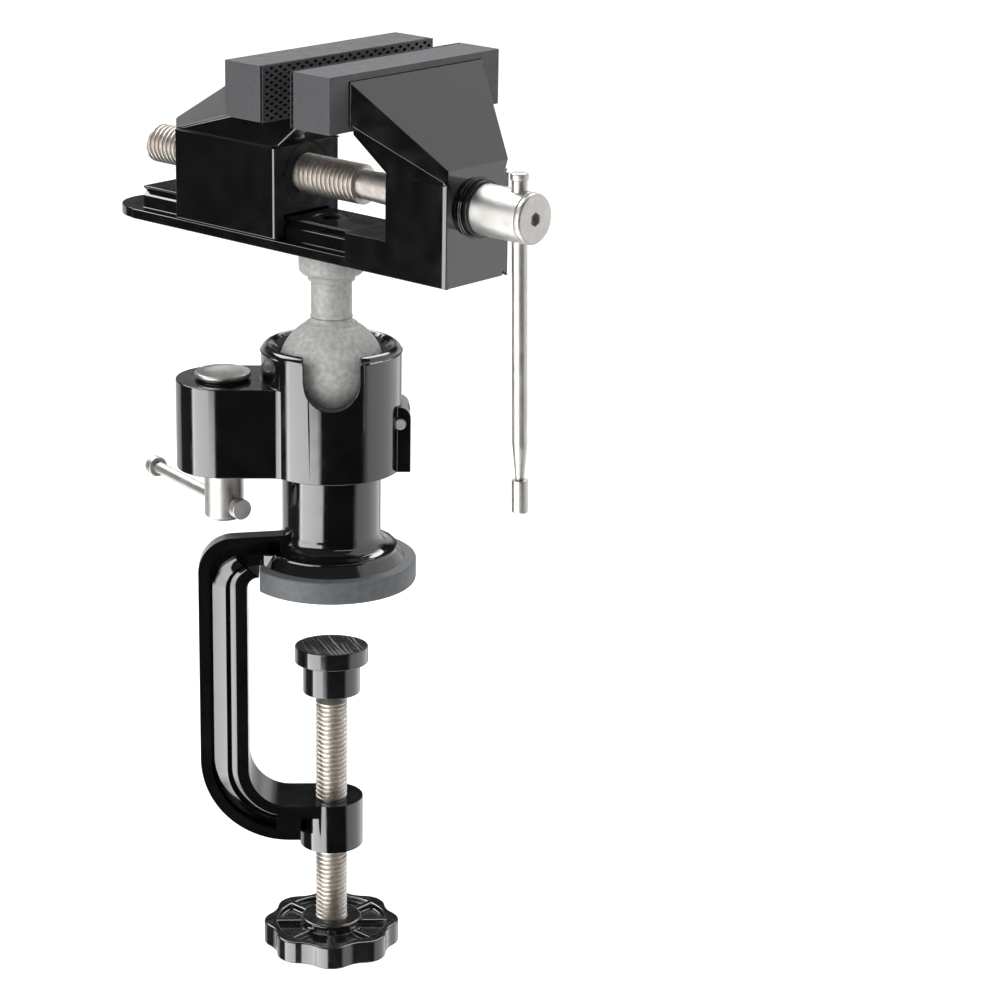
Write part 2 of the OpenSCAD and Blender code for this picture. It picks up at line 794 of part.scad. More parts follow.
// Outline of the C-frame from the side, drawn in by an inset for the recess in its web
module frame_outline(inset) {
    out_r = bend_u - column_out;
    in_r = bend_u - column_in;
    out_z = lower_bottom + out_r;
    arc_z = lower_top + in_r;
    step_u = -pad_flat() - 0.3;
    ledge_z = lower_top - ledge;
    translate([column_out + inset, out_z])
        square([column_width - 2 * inset, arm_top - corner_r - out_z]);
    intersection() {
        translate([column_out + corner_r, arm_top - corner_r]) circle(corner_r - inset);
        translate([column_out, arm_top - corner_r]) square(corner_r);
    }
    polygon([
        [column_out + corner_r, arm_bottom - 5], [column_out + corner_r, arm_top - inset],
        [0, arm_z(0) - inset], [0, pad_thickness + inset],
        [step_u - inset, pad_thickness + inset], [step_u - inset, arm_bottom + inset],
        [column_in - inset, arm_bottom + inset], [column_in - inset, arm_bottom - 5]
    ]);
    difference() {
        translate([column_in - inset - past, step_z()])
            square([step_u - column_in + inset + past, arm_bottom + inset - step_z()]);
        translate([column_in + inner_r, step_z()]) circle(inner_r + inset);
    }
    difference() {
        intersection() {
            translate([bend_u, out_z]) circle(out_r - inset);
            translate([bend_u - out_r, out_z - out_r]) square([out_r, out_r]);
        }
        translate([bend_u, arc_z]) circle(in_r + inset);
        translate([column_in - inset, arc_z]) square([in_r + inset + past, out_r]);
    }
    translate([bend_u - past / 2, lower_bottom + inset])
        square([past / 2 - bend_u - arm_end, lower_arm - 2 * inset]);
    translate([-arm_end - past, ledge_z]) square([arm_end + past, lower_top - ledge_z]);
}

// The same outline behind the rib, where the upper arm and its corner are lower
module back_outline(inset) {
    intersection() {
        frame_outline(inset);
        translate([0, -rib_rise]) frame_outline(inset);
    }
    intersection() {
        frame_outline(inset);
        translate([column_out, lower_bottom]) square([throat + column_width, clamp_height - throat]);
    }
}

// A fillet between the top of the arm, lowered by a drop, and a wall at a reach from the axis
module arm_fillet(v0, v1, reach, drop, r) {
    z = arm_z(-reach - r) - drop - 0.1;
    translate([0, (v0 + v1) / 2, 0]) side_extrude(v1 - v0)
        difference() {
            translate([-reach - r, z - past]) square([r + 2, r + past]);
            translate([-reach - r, z + r]) circle(r);
        }
}

// Distance from the axis to the flat on the table pad, which clears the column
function pad_flat() = throat - 3.9;
// Height where the rounding under the upper arm begins
function step_z() = arm_bottom - inner_r;

// C-frame with an I-shaped section, the post with its flange and plug, and the clamp boss
module clamp_frame() {
    post_r = post_d / 2;
    half = frame_thickness / 2;
    rib_v = rib_depth - half;
    web_depth = (frame_thickness - web_thickness) / 2;
    recess_end = -post_r - 0.5;
    recess_low_end = bend_u - 4;
    rib_u = column_out + corner_r;
    // The rib's fillet ends just inside the place where its front face meets the post
    rib_reach = sqrt(pow(post_r, 2) - pow(half, 2)) - 0.15;
    rib_fillet = 3.3;
    edge_r = 1;
    color(BLACK) base()
        difference() {
            union() {
                translate([0, (rib_v - half) / 2, 0]) side_extrude(rib_depth) frame_outline(0);
                translate([0, (rib_v - past + half) / 2, 0])
                    side_extrude(half - rib_v + past) back_outline(0);
                arm_fillet(-half, rib_v, rib_reach, 0, rib_fillet);
                arm_fillet(rib_v - past, half - 2, post_r, rib_rise, 3);
                translate([0, 0, pad_thickness]) cylinder(d = post_d, h = post_top - pad_thickness);
                translate([0, 0, pad_thickness])
                    rotate_extrude() {
                        square([flange_d / 2 - edge_r, flange_thickness]);
                        square([flange_d / 2, flange_thickness - edge_r]);
                        translate([flange_d / 2 - edge_r, flange_thickness - edge_r]) circle(edge_r);
                        difference() {
                            translate([post_r - past, flange_thickness - past])
                                square([fillet + past, fillet + past]);
                            translate([post_r + fillet, flange_thickness + fillet]) circle(fillet);
                        }
                    }
                translate([0, 0, post_top]) cylinder(d = plug_d, h = plug_height);
                translate([0, 0, clamp_boss_bottom])
                    cylinder(d = clamp_boss_d, h = lower_top - clamp_boss_bottom);
            }
            // The recess in each side of the web, which reaches higher in front, up to the rib's wall
            for (side = [-1, 1])
                translate([0, side * (frame_thickness - web_depth + past) / 2, 0])
                    side_extrude(web_depth + past) {
                        intersection() {
                            if (side < 0) frame_outline(flange_wall);
                            else back_outline(flange_wall);
                            union() {
                                translate([column_out, -throat])
                                    square([recess_end - column_out, 2 * throat]);
                                translate([column_out, lower_bottom])
                                    square([recess_low_end - column_out, clamp_height]);
                            }
                        }
                        if (side < 0)
                            polygon([
                                [rib_u, arm_top - flange_wall - past], [rib_u, arm_top - flange_wall],
                                [rib_u + 6, arm_z(rib_u + 6) - rib_wall],
                                [recess_end, arm_z(recess_end) - rib_wall],
                                [recess_end, arm_top - flange_wall - past]
                            ]);
                    }
            translate([0, 0, clamp_boss_bottom - past])
                cylinder(d = clamp_screw_d + 2 * running_gap, h = lower_top - clamp_boss_bottom + 2 * past);
            grub_screws(0);
        }
}

// Grey pad on the table, with a flat where the column passes
module table_pad() {
    edge = 0.6;
    color(PAD_GREY) base()
        difference() {
            union() {
                cylinder(d1 = pad_d - 2 * edge, d2 = pad_d, h = edge);
                translate([0, 0, edge]) cylinder(d = pad_d, h = pad_thickness - edge);
            }
            translate([-pad_d, -pad_d / 2, -past])
                cube([pad_d - pad_flat(), pad_d, pad_thickness + 2 * past]);
        }
}

// Clamp screw with a ball tip for the swivel pad and its lower end in the knob
module clamp_screw() {
    neck_low = swivel_bottom - 1;
    taper = 2;
    tip_neck_d = 5.5;
    color(STEEL) {
        translate([0, 0, screw_low]) cylinder(d = clamp_screw_d, h = neck_low - taper - screw_low);
        translate([0, 0, neck_low - taper]) cylinder(d1 = clamp_screw_d, d2 = tip_neck_d, h = taper);
        translate([0, 0, neck_low - past]) cylinder(d = tip_neck_d, h = tip_z - neck_low + past);
        translate([0, 0, tip_z]) sphere(r = tip_r);
    }
}

// Wire ring that keeps the swivel pad on the ball tip
module pad_clip() {
    color(STEEL) translate([0, 0, clip_z]) rotate_extrude() translate([clip_r, 0]) circle(clip_wire_r);
}

// Pad that presses on the underside of the table and swivels on the ball tip
module swivel_pad() {
    socket_r = tip_r + 0.15;
    disc = 5.2;
    clip_room = 2.2;
    color(BLACK) base() translate([0, 0, tip_z]) rotate([-swivel_lean, 0, 0])
        difference() {
            union() {
                translate([0, 0, tip_depth - disc]) cylinder(d = swivel_d, h = disc);
                translate([0, 0, -skirt]) cylinder(d = swivel_d - 5, h = skirt + tip_depth - disc + past);
            }
            sphere(r = socket_r);
            translate([0, 0, -skirt - past]) cylinder(r = socket_r, h = skirt + past);
            translate([0, 0, -clip_depth - clip_room / 2])
                cylinder(r = clip_r + clip_wire_r + 0.4, h = clip_room);
        }
}

// Outline of the knob: lobes and shallow hollows between them, all tangent arcs. The lobe's
// radius follows from the depth and the radius of the hollows.
module lobed_outline(r, hollow_depth, hollow_r) {
    step = 180 / knob_lobes;
    reach = r + hollow_r;
    hollow_at = reach - hollow_depth;
    lobe_at = (pow(reach, 2) - pow(hollow_at, 2)) / (2 * (reach - hollow_at * cos(step)));
    difference() {
        polygon([
            for (i = [0 : 2 * knob_lobes - 1])
                (i % 2 == 0 ? lobe_at : hollow_at) * [sin(i * step), cos(i * step)]
        ]);
        for (i = [0 : knob_lobes - 1])
            rotate((i + 0.5) * 2 * step) translate([0, hollow_at]) circle(hollow_r);
    }
    for (i = [0 : knob_lobes - 1])
        rotate(i * 2 * step) translate([0, lobe_at]) circle(r - lobe_at);
}

// Knob with a lobed edge, a hub ring and recessed fields between radial ribs
module hand_knob() {
    knob_r = knob_d / 2;
    pitch = 360 / knob_lobes;
    hub_r = 9.25;
    field_r = knob_r - 4.2;
    field_depth = 1.5;
    hub_height = 1.6;
    rib = 2.2;
    color(BLACK) base()
        difference() {
            union() {
                translate([0, 0, knob_bottom])
                    linear_extrude(knob_thickness) lobed_outline(knob_r, 2, 9);
                translate([0, 0, knob_bottom]) cylinder(r = hub_r, h = knob_thickness + hub_height);
            }
            translate([0, 0, knob_top - field_depth])
                linear_extrude(field_depth + past)
                    difference() {
                        circle(field_r);
                        circle(hub_r);
                        for (i = [0 : knob_lobes - 1])
                            rotate(i * pitch) translate([0, -rib / 2]) square([knob_r, rib]);
                    }
            translate([0, 0, knob_bottom - past])
                cylinder(d = clamp_screw_d, h = knob_thickness + hub_height + 2 * past);
            translate([0, 0, knob_bottom - past])
                cylinder(d = nut_flats / cos(30), h = nut_thickness + past, $fn = 6);
        }
}

// Hexagon nut moulded into the underside of the knob
module knob_nut() {
    color(STEEL) base() translate([0, 0, knob_bottom])
        difference() {
            cylinder(d = nut_flats / cos(30), h = nut_thickness, $fn = 6);
            translate([0, 0, -past]) cylinder(d = clamp_screw_d, h = nut_thickness + 2 * past);
        }
}

clamp_frame();
table_pad();
socket_housing();
housing_screws();
ball_seat();
clamp_lever();
lever_pin();
lock_bolt();
bolt_washer();
lock_washer();
lock_nut();
lock_bar();
lock_bar_caps();
ball_stud();
stud_bolt();
fixed_jaw();
fixed_jaw_cover();
moving_jaw();
moving_jaw_cover();
jaw_nut();
lead_screw();
screw_clip();
thrust_washer();
screw_barrel();
end_cap();
handle_bar();
handle_caps();
clamp_screw();
pad_clip();
swivel_pad();
hand_knob();
knob_nut();
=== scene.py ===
import json
import math

import bpy
from mathutils import Matrix, Quaternion, Vector


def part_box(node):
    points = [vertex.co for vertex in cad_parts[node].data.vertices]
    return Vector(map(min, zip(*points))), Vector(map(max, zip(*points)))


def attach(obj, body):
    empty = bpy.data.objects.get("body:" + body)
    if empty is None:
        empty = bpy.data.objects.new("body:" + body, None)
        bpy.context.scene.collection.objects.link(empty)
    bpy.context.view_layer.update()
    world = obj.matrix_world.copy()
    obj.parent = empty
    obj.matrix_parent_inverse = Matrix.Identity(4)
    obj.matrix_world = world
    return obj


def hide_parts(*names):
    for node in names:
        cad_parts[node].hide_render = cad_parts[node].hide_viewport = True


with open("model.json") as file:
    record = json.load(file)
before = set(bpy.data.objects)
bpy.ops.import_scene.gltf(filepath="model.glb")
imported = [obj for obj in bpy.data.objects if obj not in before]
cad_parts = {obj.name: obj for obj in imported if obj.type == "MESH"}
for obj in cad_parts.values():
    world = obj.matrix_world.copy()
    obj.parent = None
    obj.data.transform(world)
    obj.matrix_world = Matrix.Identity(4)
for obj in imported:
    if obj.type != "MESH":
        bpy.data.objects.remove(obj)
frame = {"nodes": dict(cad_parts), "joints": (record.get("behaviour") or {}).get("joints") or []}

bl_info = {
    "name": "Mini bench vise",
    "version": (1, 0, 0),
    "blender": (4, 5, 0),
    "location": "View3D > Sidebar > Bench vise",
    "description": "Builds the visible pieces of a small ball-joint vise round its CAD frame",
    "category": "Add Mesh",
}

NODES = frame["nodes"]
MM = 0.001
# The base stands turned by this angle under the head, about the vertical axis of the ball
BASE_TURN = math.radians(44)
# Two points closer than this are the same point of a CAD mesh
WELD = 0.00002
# Faces that meet at less than this are one flat face cut into triangles
FLAT = math.radians(0.4)
# Edges sharper than this are rounded, and smooth shading stops at them elsewhere
SHARP = math.radians(28)

# The photograph's view: a camera 900 mm from a point on the ball's axis, turned a little to
# the right, so that the vise stands left of the middle
VIEW_AZIMUTH = math.radians(44)
VIEW_ELEVATION = math.radians(18)
VIEW_DISTANCE = 0.9
VIEW_TARGET = Vector((0, 0, 0.0245))
VIEW_TURN = math.radians(3.215)
VIEW_LENS = 108


def colour(name, text, value):
    return bpy.props.FloatVectorProperty(
        name=name, description=text, subtype="COLOR", size=3, min=0, max=1, default=value)


def length(name, text, value):
    return bpy.props.FloatProperty(
        name=name, description=text, subtype="DISTANCE", unit="LENGTH", min=0, default=value)


class ViseSizes(bpy.types.PropertyGroup):
    """Sizes of the details that the CAD frame leaves out"""
    edge: length("Casting edge", "Rounding along the edges of the rough castings", 0.45 * MM)
    fixed_edge: length("Fixed jaw edge", "Rounding along the edges of the fixed jaw", 0.25 * MM)
    socket_edge: length("Socket edge", "Rounding of the socket housing and the stud", 0.3 * MM)
    corner: length("Fixed block corner", "Rounding of the fixed block's front corners", 1.8 * MM)
    slide_corner: length(
        "Sliding block corner", "Rounding of the sliding block's front corners", 1.3 * MM)
    panel: length("Panel rise", "How far the blocks' flat sides stand proud", 0.5 * MM)
    web_reach: length(
        "Web reach", "How far the C-frame's hollow side runs in from the opening", 7.3 * MM)
    cover_edge: length("Cover edge", "Rounding along the edges of the jaw covers", 0.25 * MM)
    knurl_width: length("Knurl width", "Width of a diamond on the jaw covers", 70 / 20 * MM)
    knurl_height: length("Knurl height", "Height of a diamond on the jaw covers", 15.9 / 8 * MM)
    knurl_rim: length("Knurl rim", "Flat rim round each pit", 0.36 * MM)
    knurl_slope: length("Knurl slope", "Width of the slope inside each pit", 0.3 * MM)
    knurl_depth: length("Knurl depth", "Depth of the pits in the jaw covers", 0.9 * MM)
    knurl_skin: length("Knurl skin", "Thickness of the covers behind the pits", 0.2 * MM)
    steel_edge: length("Steel edge", "Rounding of the turned steel pieces", 0.25 * MM)
    shank_edge: length("Shank edge", "Rounding along the vise screw's plain shank", 0.15 * MM)
    vise_pitch: length("Vise screw pitch", "Pitch of the vise screw's thread", 1.75 * MM)
    clamp_pitch: length("Clamp screw pitch", "Pitch of the clamp screw's thread", 1.5 * MM)
    plastic_edge: length("Plastic edge", "Rounding of the table pad and the knob", 0.5 * MM)
    swivel_edge: length("Swivel pad edge", "Rounding of the swivel pad", 0.4 * MM)
    serration: length("Serration pitch", "Distance between the swivel pad's ridges", 1.3 * MM)
    serration_depth: length("Serration depth", "Depth of the swivel pad's grooves", 0.2 * MM)


class ViseColours(bpy.types.PropertyGroup):
    """Base colours of the finishes, linear"""
    enamel: colour("Black enamel", "Paint of the castings", (0.0035, 0.0035, 0.004))
    cover: colour("Jaw cover", "Charcoal of the jaw covers", (0.046, 0.047, 0.051))
    pad: colour("Table pad", "Grey of the table pad", (0.1, 0.108, 0.113))
    # This black is also the colour of the painted shade in hollows and on shadowed faces
    plastic: colour("Black plastic", "Knob and swivel pad", (0.007, 0.007, 0.008))
    casting: colour("Bare casting", "Grey of the ball stud", (0.45, 0.445, 0.43))
    steel: colour("Screw steel", "Plated steel of the two screws", (0.55, 0.51, 0.47))
    bright: colour(
        "Bright steel", "Polished steel of the handle and the barrel", (0.46, 0.449, 0.43))


# ---- Small tools for shaping -------------------------------------------------------------

def work_on(obj):
    """Leaves edit mode and makes one object the only selected and the active one."""
    if bpy.context.object is not None and bpy.context.object.mode != "OBJECT":
        bpy.ops.object.mode_set(mode="OBJECT")
    bpy.ops.object.select_all(action="DESELECT")
    if obj is not None:
        obj.select_set(True)
        bpy.context.view_layer.objects.active = obj


def edit_all(obj):
    """Enters edit mode with the whole mesh selected."""
    work_on(obj)
    bpy.ops.object.mode_set(mode="EDIT")
    bpy.ops.mesh.select_all(action="SELECT")


def pick(obj, kind, test):
    """Enters edit mode with only the vertices, edges or faces selected that pass a test.

    The test is given a list of the corners of one of them.
    """
    work_on(obj)
    bpy.ops.object.mode_set(mode="EDIT")
    bpy.ops.mesh.select_mode(type=kind)
    bpy.ops.mesh.select_all(action="DESELECT")
    bpy.ops.object.mode_set(mode="OBJECT")
    mesh = obj.data
    points = [v.co for v in mesh.vertices]
    items = {"VERT": mesh.vertices, "EDGE": mesh.edges, "FACE": mesh.polygons}[kind]
    found = 0
    for item in items:
        corners = [item.co] if kind == "VERT" else [points[i] for i in item.vertices]
        item.select = bool(test(corners))
        found += item.select
    if not found:
        raise RuntimeError(f"nothing to shape on {obj.name}")
    bpy.ops.object.mode_set(mode="EDIT")


def in_base(p):
    """A point in the base's own directions, in mm: u along its arm, v from front to back, z up."""
    c, s = math.cos(BASE_TURN), math.sin(BASE_TURN)
    return Vector((p.x * c + p.y * s, p.y * c - p.x * s, p.z)) / MM


def from_base(u, v, z):
    """The inverse of in_base."""
    c, s = math.cos(BASE_TURN), math.sin(BASE_TURN)
    return Vector((u * c - v * s, u * s + v * c, z)) * MM


def copy_node(node, name):
    """A piece with the shape of a CAD node, its triangles joined into whole flat faces."""
    obj = bpy.data.objects.new(name, NODES[node].data.copy())
    obj.data.name = name
    obj.data.materials.clear()
    bpy.context.scene.collection.objects.link(obj)
    work_on(obj)
    bpy.ops.mesh.customdata_custom_splitnormals_clear()
    edit_all(obj)
    bpy.ops.mesh.remove_doubles(threshold=WELD)
    bpy.ops.mesh.dissolve_limited(angle_limit=FLAT)
    bpy.ops.object.mode_set(mode="OBJECT")
    return obj


def cut_off(obj, point, outwards):
    """Cuts away what lies outside a plane, and closes the cut."""
    edit_all(obj)
    bpy.ops.mesh.bisect(plane_co=point, plane_no=outwards, clear_outer=True, use_fill=True)
    bpy.ops.object.mode_set(mode="OBJECT")


def apply(obj, modifier):
    """Makes a modifier's result the mesh itself."""
    work_on(obj)
    bpy.ops.object.modifier_apply(modifier=modifier.name)


def round_edges(obj, width, segments=2, clamp=False):
    """Rounds every edge sharper than SHARP, and lets the large faces set the shading."""
    work_on(obj)
    bpy.ops.object.shade_smooth()
    bevel = obj.modifiers.new("Rounded edges", "BEVEL")
    bevel.width = width
    bevel.segments = segments
    bevel.limit_method = "ANGLE"
    bevel.angle_limit = SHARP
    # Short edges of finely cut curves hold every edge to their own length where this is on
    bevel.use_clamp_overlap = clamp
    apply(obj, bevel)
    normals = obj.modifiers.new("Weighted normals", "WEIGHTED_NORMAL")
    normals.mode = "FACE_AREA"
    apply(obj, normals)


def join(obj, other):
    """Adds another mesh to a piece."""
    work_on(obj)
    other.select_set(True)
    bpy.ops.object.join()


def two_finishes(obj, first, second, test=None):
    """Gives a mesh two finishes, the second on the faces that pass a test of their corners."""
    for slot in (first, second):
        obj.data.materials.append(finish_of(slot))
    if test:
        pick(obj, "FACE", test)
        obj.active_material_index = 1
        bpy.ops.object.material_slot_assign()
        bpy.ops.object.mode_set(mode="OBJECT")


def place(obj, body, slot, *replaced):
    """Gives a finished piece its body, its slot and the CAD nodes that it stands for."""
    if not obj.data.materials:
        obj.data.materials.append(finish_of(slot))
    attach(obj, body)
    if replaced:
        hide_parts(*replaced)


# ---- Finishes ----------------------------------------------------------------------------

def finish(name, colour, roughness, mottle, relief, sheen=None, metallic=0.0, ior=1.5):
    """A finish whose colour, roughness and relief follow noise on the piece's own coordinates.

    mottle is (cells per metre, detail, darkest share of the colour, lightest share), sheen is
    (cells per metre, detail, lowest roughness, highest roughness), and relief is (cells per
    metre, detail, height, strength).
    """
    material = bpy.data.materials.new(name)
    material.use_nodes = True
    nodes, links = material.node_tree.nodes, material.node_tree.links
    shader = nodes["Principled BSDF"]
    shader.inputs["Base Color"].default_value = (*colour, 1)
    shader.inputs["Roughness"].default_value = roughness
    shader.inputs["Metallic"].default_value = metallic
    shader.inputs["IOR"].default_value = ior
    xyz = nodes.new("ShaderNodeTexCoord").outputs["Object"]

    def noise(cells, detail):
        texture = nodes.new("ShaderNodeTexNoise")
        texture.inputs["Scale"].default_value = cells
        texture.inputs["Detail"].default_value = detail
        links.new(xyz, texture.inputs["Vector"])
        return texture.outputs["Fac"]

    # Noise seldom leaves its middle, so the two ends of each range stand well inside 0 and 1
    *cells, dark, light = mottle
    ramp = nodes.new("ShaderNodeValToRGB")
    for element, position, share in zip(ramp.color_ramp.elements, (0.32, 0.68), (dark, light)):
        element.position = position
        element.color = (*(min(1, c * share) for c in colour), 1)
    links.new(noise(*cells), ramp.inputs["Fac"])
    links.new(ramp.outputs["Color"], shader.inputs["Base Color"])

    if sheen:
        *cells, low, high = sheen
        spread = nodes.new("ShaderNodeMapRange")
        spread.inputs["From Min"].default_value = 0.3
        spread.inputs["From Max"].default_value = 0.7
        spread.inputs["To Min"].default_value = low
        spread.inputs["To Max"].default_value = high
        links.new(noise(*cells), spread.inputs["Value"])
        links.new(spread.outputs["Result"], shader.inputs["Roughness"])

    *cells, height, strength = relief
    bump = nodes.new("ShaderNodeBump")
    bump.inputs["Distance"].default_value = height
    bump.inputs["Strength"].default_value = strength
    links.new(noise(*cells), bump.inputs["Height"])
    links.new(bump.outputs["Normal"], shader.inputs["Normal"])
    return material


def black_enamel(colours):
    """Thick glossy paint with a faint orange peel over a cast skin."""
    return finish("Black enamel", colours.enamel, 0.1, ior=1.8, mottle=(90, 3, 0.7, 1.5),
                  sheen=(160, 5, 0.05, 0.14), relief=(420, 2, 0.03 * MM, 0.16))


def charcoal_cover(colours):
    """Moulded charcoal with a fine matt grain."""
    return finish("Charcoal cover", colours.cover, 0.5, mottle=(900, 4, 0.88, 1.1),
                  sheen=(220, 4, 0.42, 0.56), relief=(2600, 3, 0.03 * MM, 0.35))


def grey_pad(colours):
    """Grey rubbery plastic of the table pad."""
    return finish("Grey pad", colours.pad, 0.55, mottle=(500, 5, 0.85, 1.15),
                  relief=(1800, 4, 0.04 * MM, 0.35))


def bare_casting(colours):
    """Sand-cast light grey metal: mottled, with fine pits."""
    return finish("Bare casting", colours.casting, 0.55, mottle=(650, 8, 0.8, 1.18),
                  sheen=(900, 5, 0.4, 0.65), relief=(1100, 6, 0.12 * MM, 0.5))


def screw_steel(colours):
    """Warm plated steel of the threads."""
    return finish("Screw steel", colours.steel, 0.42, metallic=1, mottle=(600, 6, 0.85, 1.08),
                  sheen=(500, 5, 0.38, 0.48), relief=(1500, 4, 0.02 * MM, 0.3))


def bright_steel(colours):
    """Polished nickel plate."""
    return finish("Bright steel", colours.bright, 0.42, metallic=1, mottle=(250, 5, 0.9, 1.05),
                  sheen=(400, 5, 0.36, 0.48), relief=(700, 4, 0.02 * MM, 0.3))


def black_plastic(name, colours, roughness, ior):
    """Moulded black with a slightly uneven gloss; its matt form is also the painted shade."""
    return finish(name, colours.plastic, roughness, ior=ior, mottle=(300, 4, 0.7, 1.5),
                  sheen=(250, 4, roughness * 0.8, roughness * 1.2),
                  relief=(1500, 3, 0.03 * MM, 0.2))


def painted_shade_black(colours):
    """Painted shade: a matt black that stands in for the shade in hollows and on shadowed faces."""
    return black_plastic("Painted shade black", colours, 0.7, 1.4)


def knob_plastic(colours):
    """Glossy black of the lobed knob."""
    return black_plastic("Knob plastic", colours, 0.13, 1.8)


def swivel_plastic(colours):
    """Glossy black of the swivel pad."""
    return black_plastic("Swivel plastic", colours, 0.12, 1.8)


def dark_washer(colours):
    """Blackened finish of the two dark washers and the stud's bolt."""
    return black_plastic("Dark washer", colours, 0.2, 1.5)


# The finish of each slot of the record, and "pit" for the second finish of a piece: painted shade,
# a matt black on hollows and shadowed faces
FINISHES = {
    "black_casting": black_enamel, "grey_casting": bare_casting, "jaw_cover": charcoal_cover,
    "pit": painted_shade_black, "table_pad": grey_pad, "knob_plastic": knob_plastic,
    "swivel_plastic": swivel_plastic, "dark_washer": dark_washer, "screw_steel": screw_steel,
    "bright_steel": bright_steel,
}
MADE = {}


def finish_of(slot):
    """The material of a slot, made when it is first asked for."""
    if slot not in MADE:
        MADE[slot] = FINISHES[slot](bpy.context.scene.vise_colours)
    return MADE[slot]


# ---- Jaw castings ------------------------------------------------------------------------

# Half the width of both blocks, and how far off a point of their front faces may lie
BLOCK_HALF_WIDTH = 12.6 * MM
FRONT_REACH = 0.3 * MM
# The fixed block ends this far behind the barrel, and is this long
BARREL_GAP = 2.8 * MM
FIXED_BLOCK_LENGTH = 23 * MM
# How high the flat sides of the two blocks reach above the bed's underside
FIXED_PANEL_HEIGHT = 29.2 * MM
SLIDE_PANEL_HEIGHT = 30.2 * MM


def proud_panels(obj, from_x, top, rise):
    """Raises the flat sides of a block, from a place along X and up to a height."""
    for side in (-1, 1):
        def flush(c):
            return abs(c.y - side * BLOCK_HALF_WIDTH) < WELD

        pick(obj, "FACE", lambda p: all(flush(c) for c in p))
        bpy.ops.mesh.bisect(plane_co=(0, 0, top), plane_no=(0, 0, 1))
        pick(obj, "FACE", lambda p: all(flush(c) and c.z < top + WELD for c in p)
             and max(c.x for c in p) > from_x and max(c.z for c in p) > top - WELD)
        bpy.ops.mesh.extrude_region_move(
            TRANSFORM_OT_translate={"value": (0, side * rise, 0)})
    bpy.ops.object.mode_set(mode="OBJECT")


def round_front_corners(obj, front, radius):
    """Rounds the two upright edges at the front face of a block."""
    shortest = 5 * MM
    pick(obj, "EDGE", lambda p: abs(p[0].z - p[1].z) > shortest and all(
        abs(c.x - front) < FRONT_REACH and abs(c.y) > BLOCK_HALF_WIDTH - FRONT_REACH
        for c in p))
    bpy.ops.mesh.bevel(offset=radius, segments=5, clamp_overlap=False)
    bpy.ops.object.mode_set(mode="OBJECT")


class VISE_OT_head_castings(bpy.types.Operator):
    """Fixed jaw with its bed, and the jaw that slides on it"""
    bl_idname = "vise.head_castings"
    bl_label = "Head castings"

    def execute(self, context):
        sizes = context.scene.vise_sizes
        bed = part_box("fixed_jaw")[0].z
        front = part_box("screw_barrel")[0].x - BARREL_GAP
        fixed = copy_node("fixed_jaw", "fixed_jaw_casting")
        proud_panels(fixed, front - FIXED_BLOCK_LENGTH, bed + FIXED_PANEL_HEIGHT, sizes.panel)
        round_front_corners(fixed, front, sizes.corner)
        round_edges(fixed, sizes.fixed_edge, 2)
        place(fixed, "head", "black_casting", "fixed_jaw")

        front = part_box("jaw_nut")[1].x
        moving = copy_node("moving_jaw", "moving_jaw_casting")
        proud_panels(moving, -math.inf, bed + SLIDE_PANEL_HEIGHT, sizes.panel)
        round_front_corners(moving, front, sizes.slide_corner)
        round_edges(moving, sizes.edge, 3)
        # Its front face, between the jaws, gets painted shade, a matt black where shade falls
        two_finishes(moving, "black_casting", "pit",
                     lambda p: all(abs(c.x - front) < FRONT_REACH for c in p))
        place(moving, "jaw", "black_casting", "moving_jaw")
        return {"FINISHED"}


# ---- Jaw covers --------------------------------------------------------------------------

def knurled_sheet(name, face, facing, low, high, sizes):
    """Diamond pits over a jaw cover's gripping face, their insides in painted shade, a matt black
    darker than the cover.
    """
    width, height = high.y - low.y, high.z - low.z
    across, up = round(width / sizes.knurl_width), round(height / sizes.knurl_height)
    # A square grid is turned by 45 degrees and stretched, so that its cells become the diamonds
    cells = across + up
    bpy.ops.mesh.primitive_grid_add(
        x_subdivisions=cells, y_subdivisions=cells, size=cells * math.sqrt(0.5))
    obj = bpy.context.object
    obj.name = obj.data.name = name
    edit_all(obj)
    bpy.ops.transform.rotate(
        value=math.radians(45), orient_axis="Z", center_override=(0, 0, 0))
    bpy.ops.transform.resize(value=(width / across, height / up, 1), center_override=(0, 0, 0))
    bpy.ops.object.mode_set(mode="OBJECT")
    # It is stood upright on the cover, with its front towards the other jaw
    centre = Vector((face, (low.y + high.y) / 2, (low.z + high.z) / 2))
    upright = Matrix(((0, 0, facing), (facing, 0, 0), (0, 1, 0))).to_4x4()
    obj.matrix_world = Matrix.Translation(centre) @ upright
    bpy.ops.object.transform_apply(location=True, rotation=True, scale=True)
    bpy.ops.object.mode_set(mode="EDIT")
    for corner, outwards in (
            (low, (0, -1, 0)), (low, (0, 0, -1)), (high, (0, 1, 0)), (high, (0, 0, 1))):
        bpy.ops.mesh.select_all(action="SELECT")
        bpy.ops.mesh.bisect(plane_co=corner, plane_no=outwards, clear_outer=True)
    bpy.ops.mesh.select_all(action="SELECT")
    bpy.ops.mesh.inset(thickness=sizes.knurl_rim, use_individual=True)
    bpy.ops.mesh.inset(
        thickness=sizes.knurl_slope, depth=-sizes.knurl_depth, use_individual=True)
    bpy.ops.object.mode_set(mode="OBJECT")
    # The pits' insides get the second finish, painted shade
    two_finishes(obj, "jaw_cover", "pit", lambda p: any(abs(c.x - face) > WELD for c in p))
    skin = obj.modifiers.new("Skin", "SOLIDIFY")
    skin.thickness = sizes.knurl_skin
    skin.offset = -1
    apply(obj, skin)
    return obj


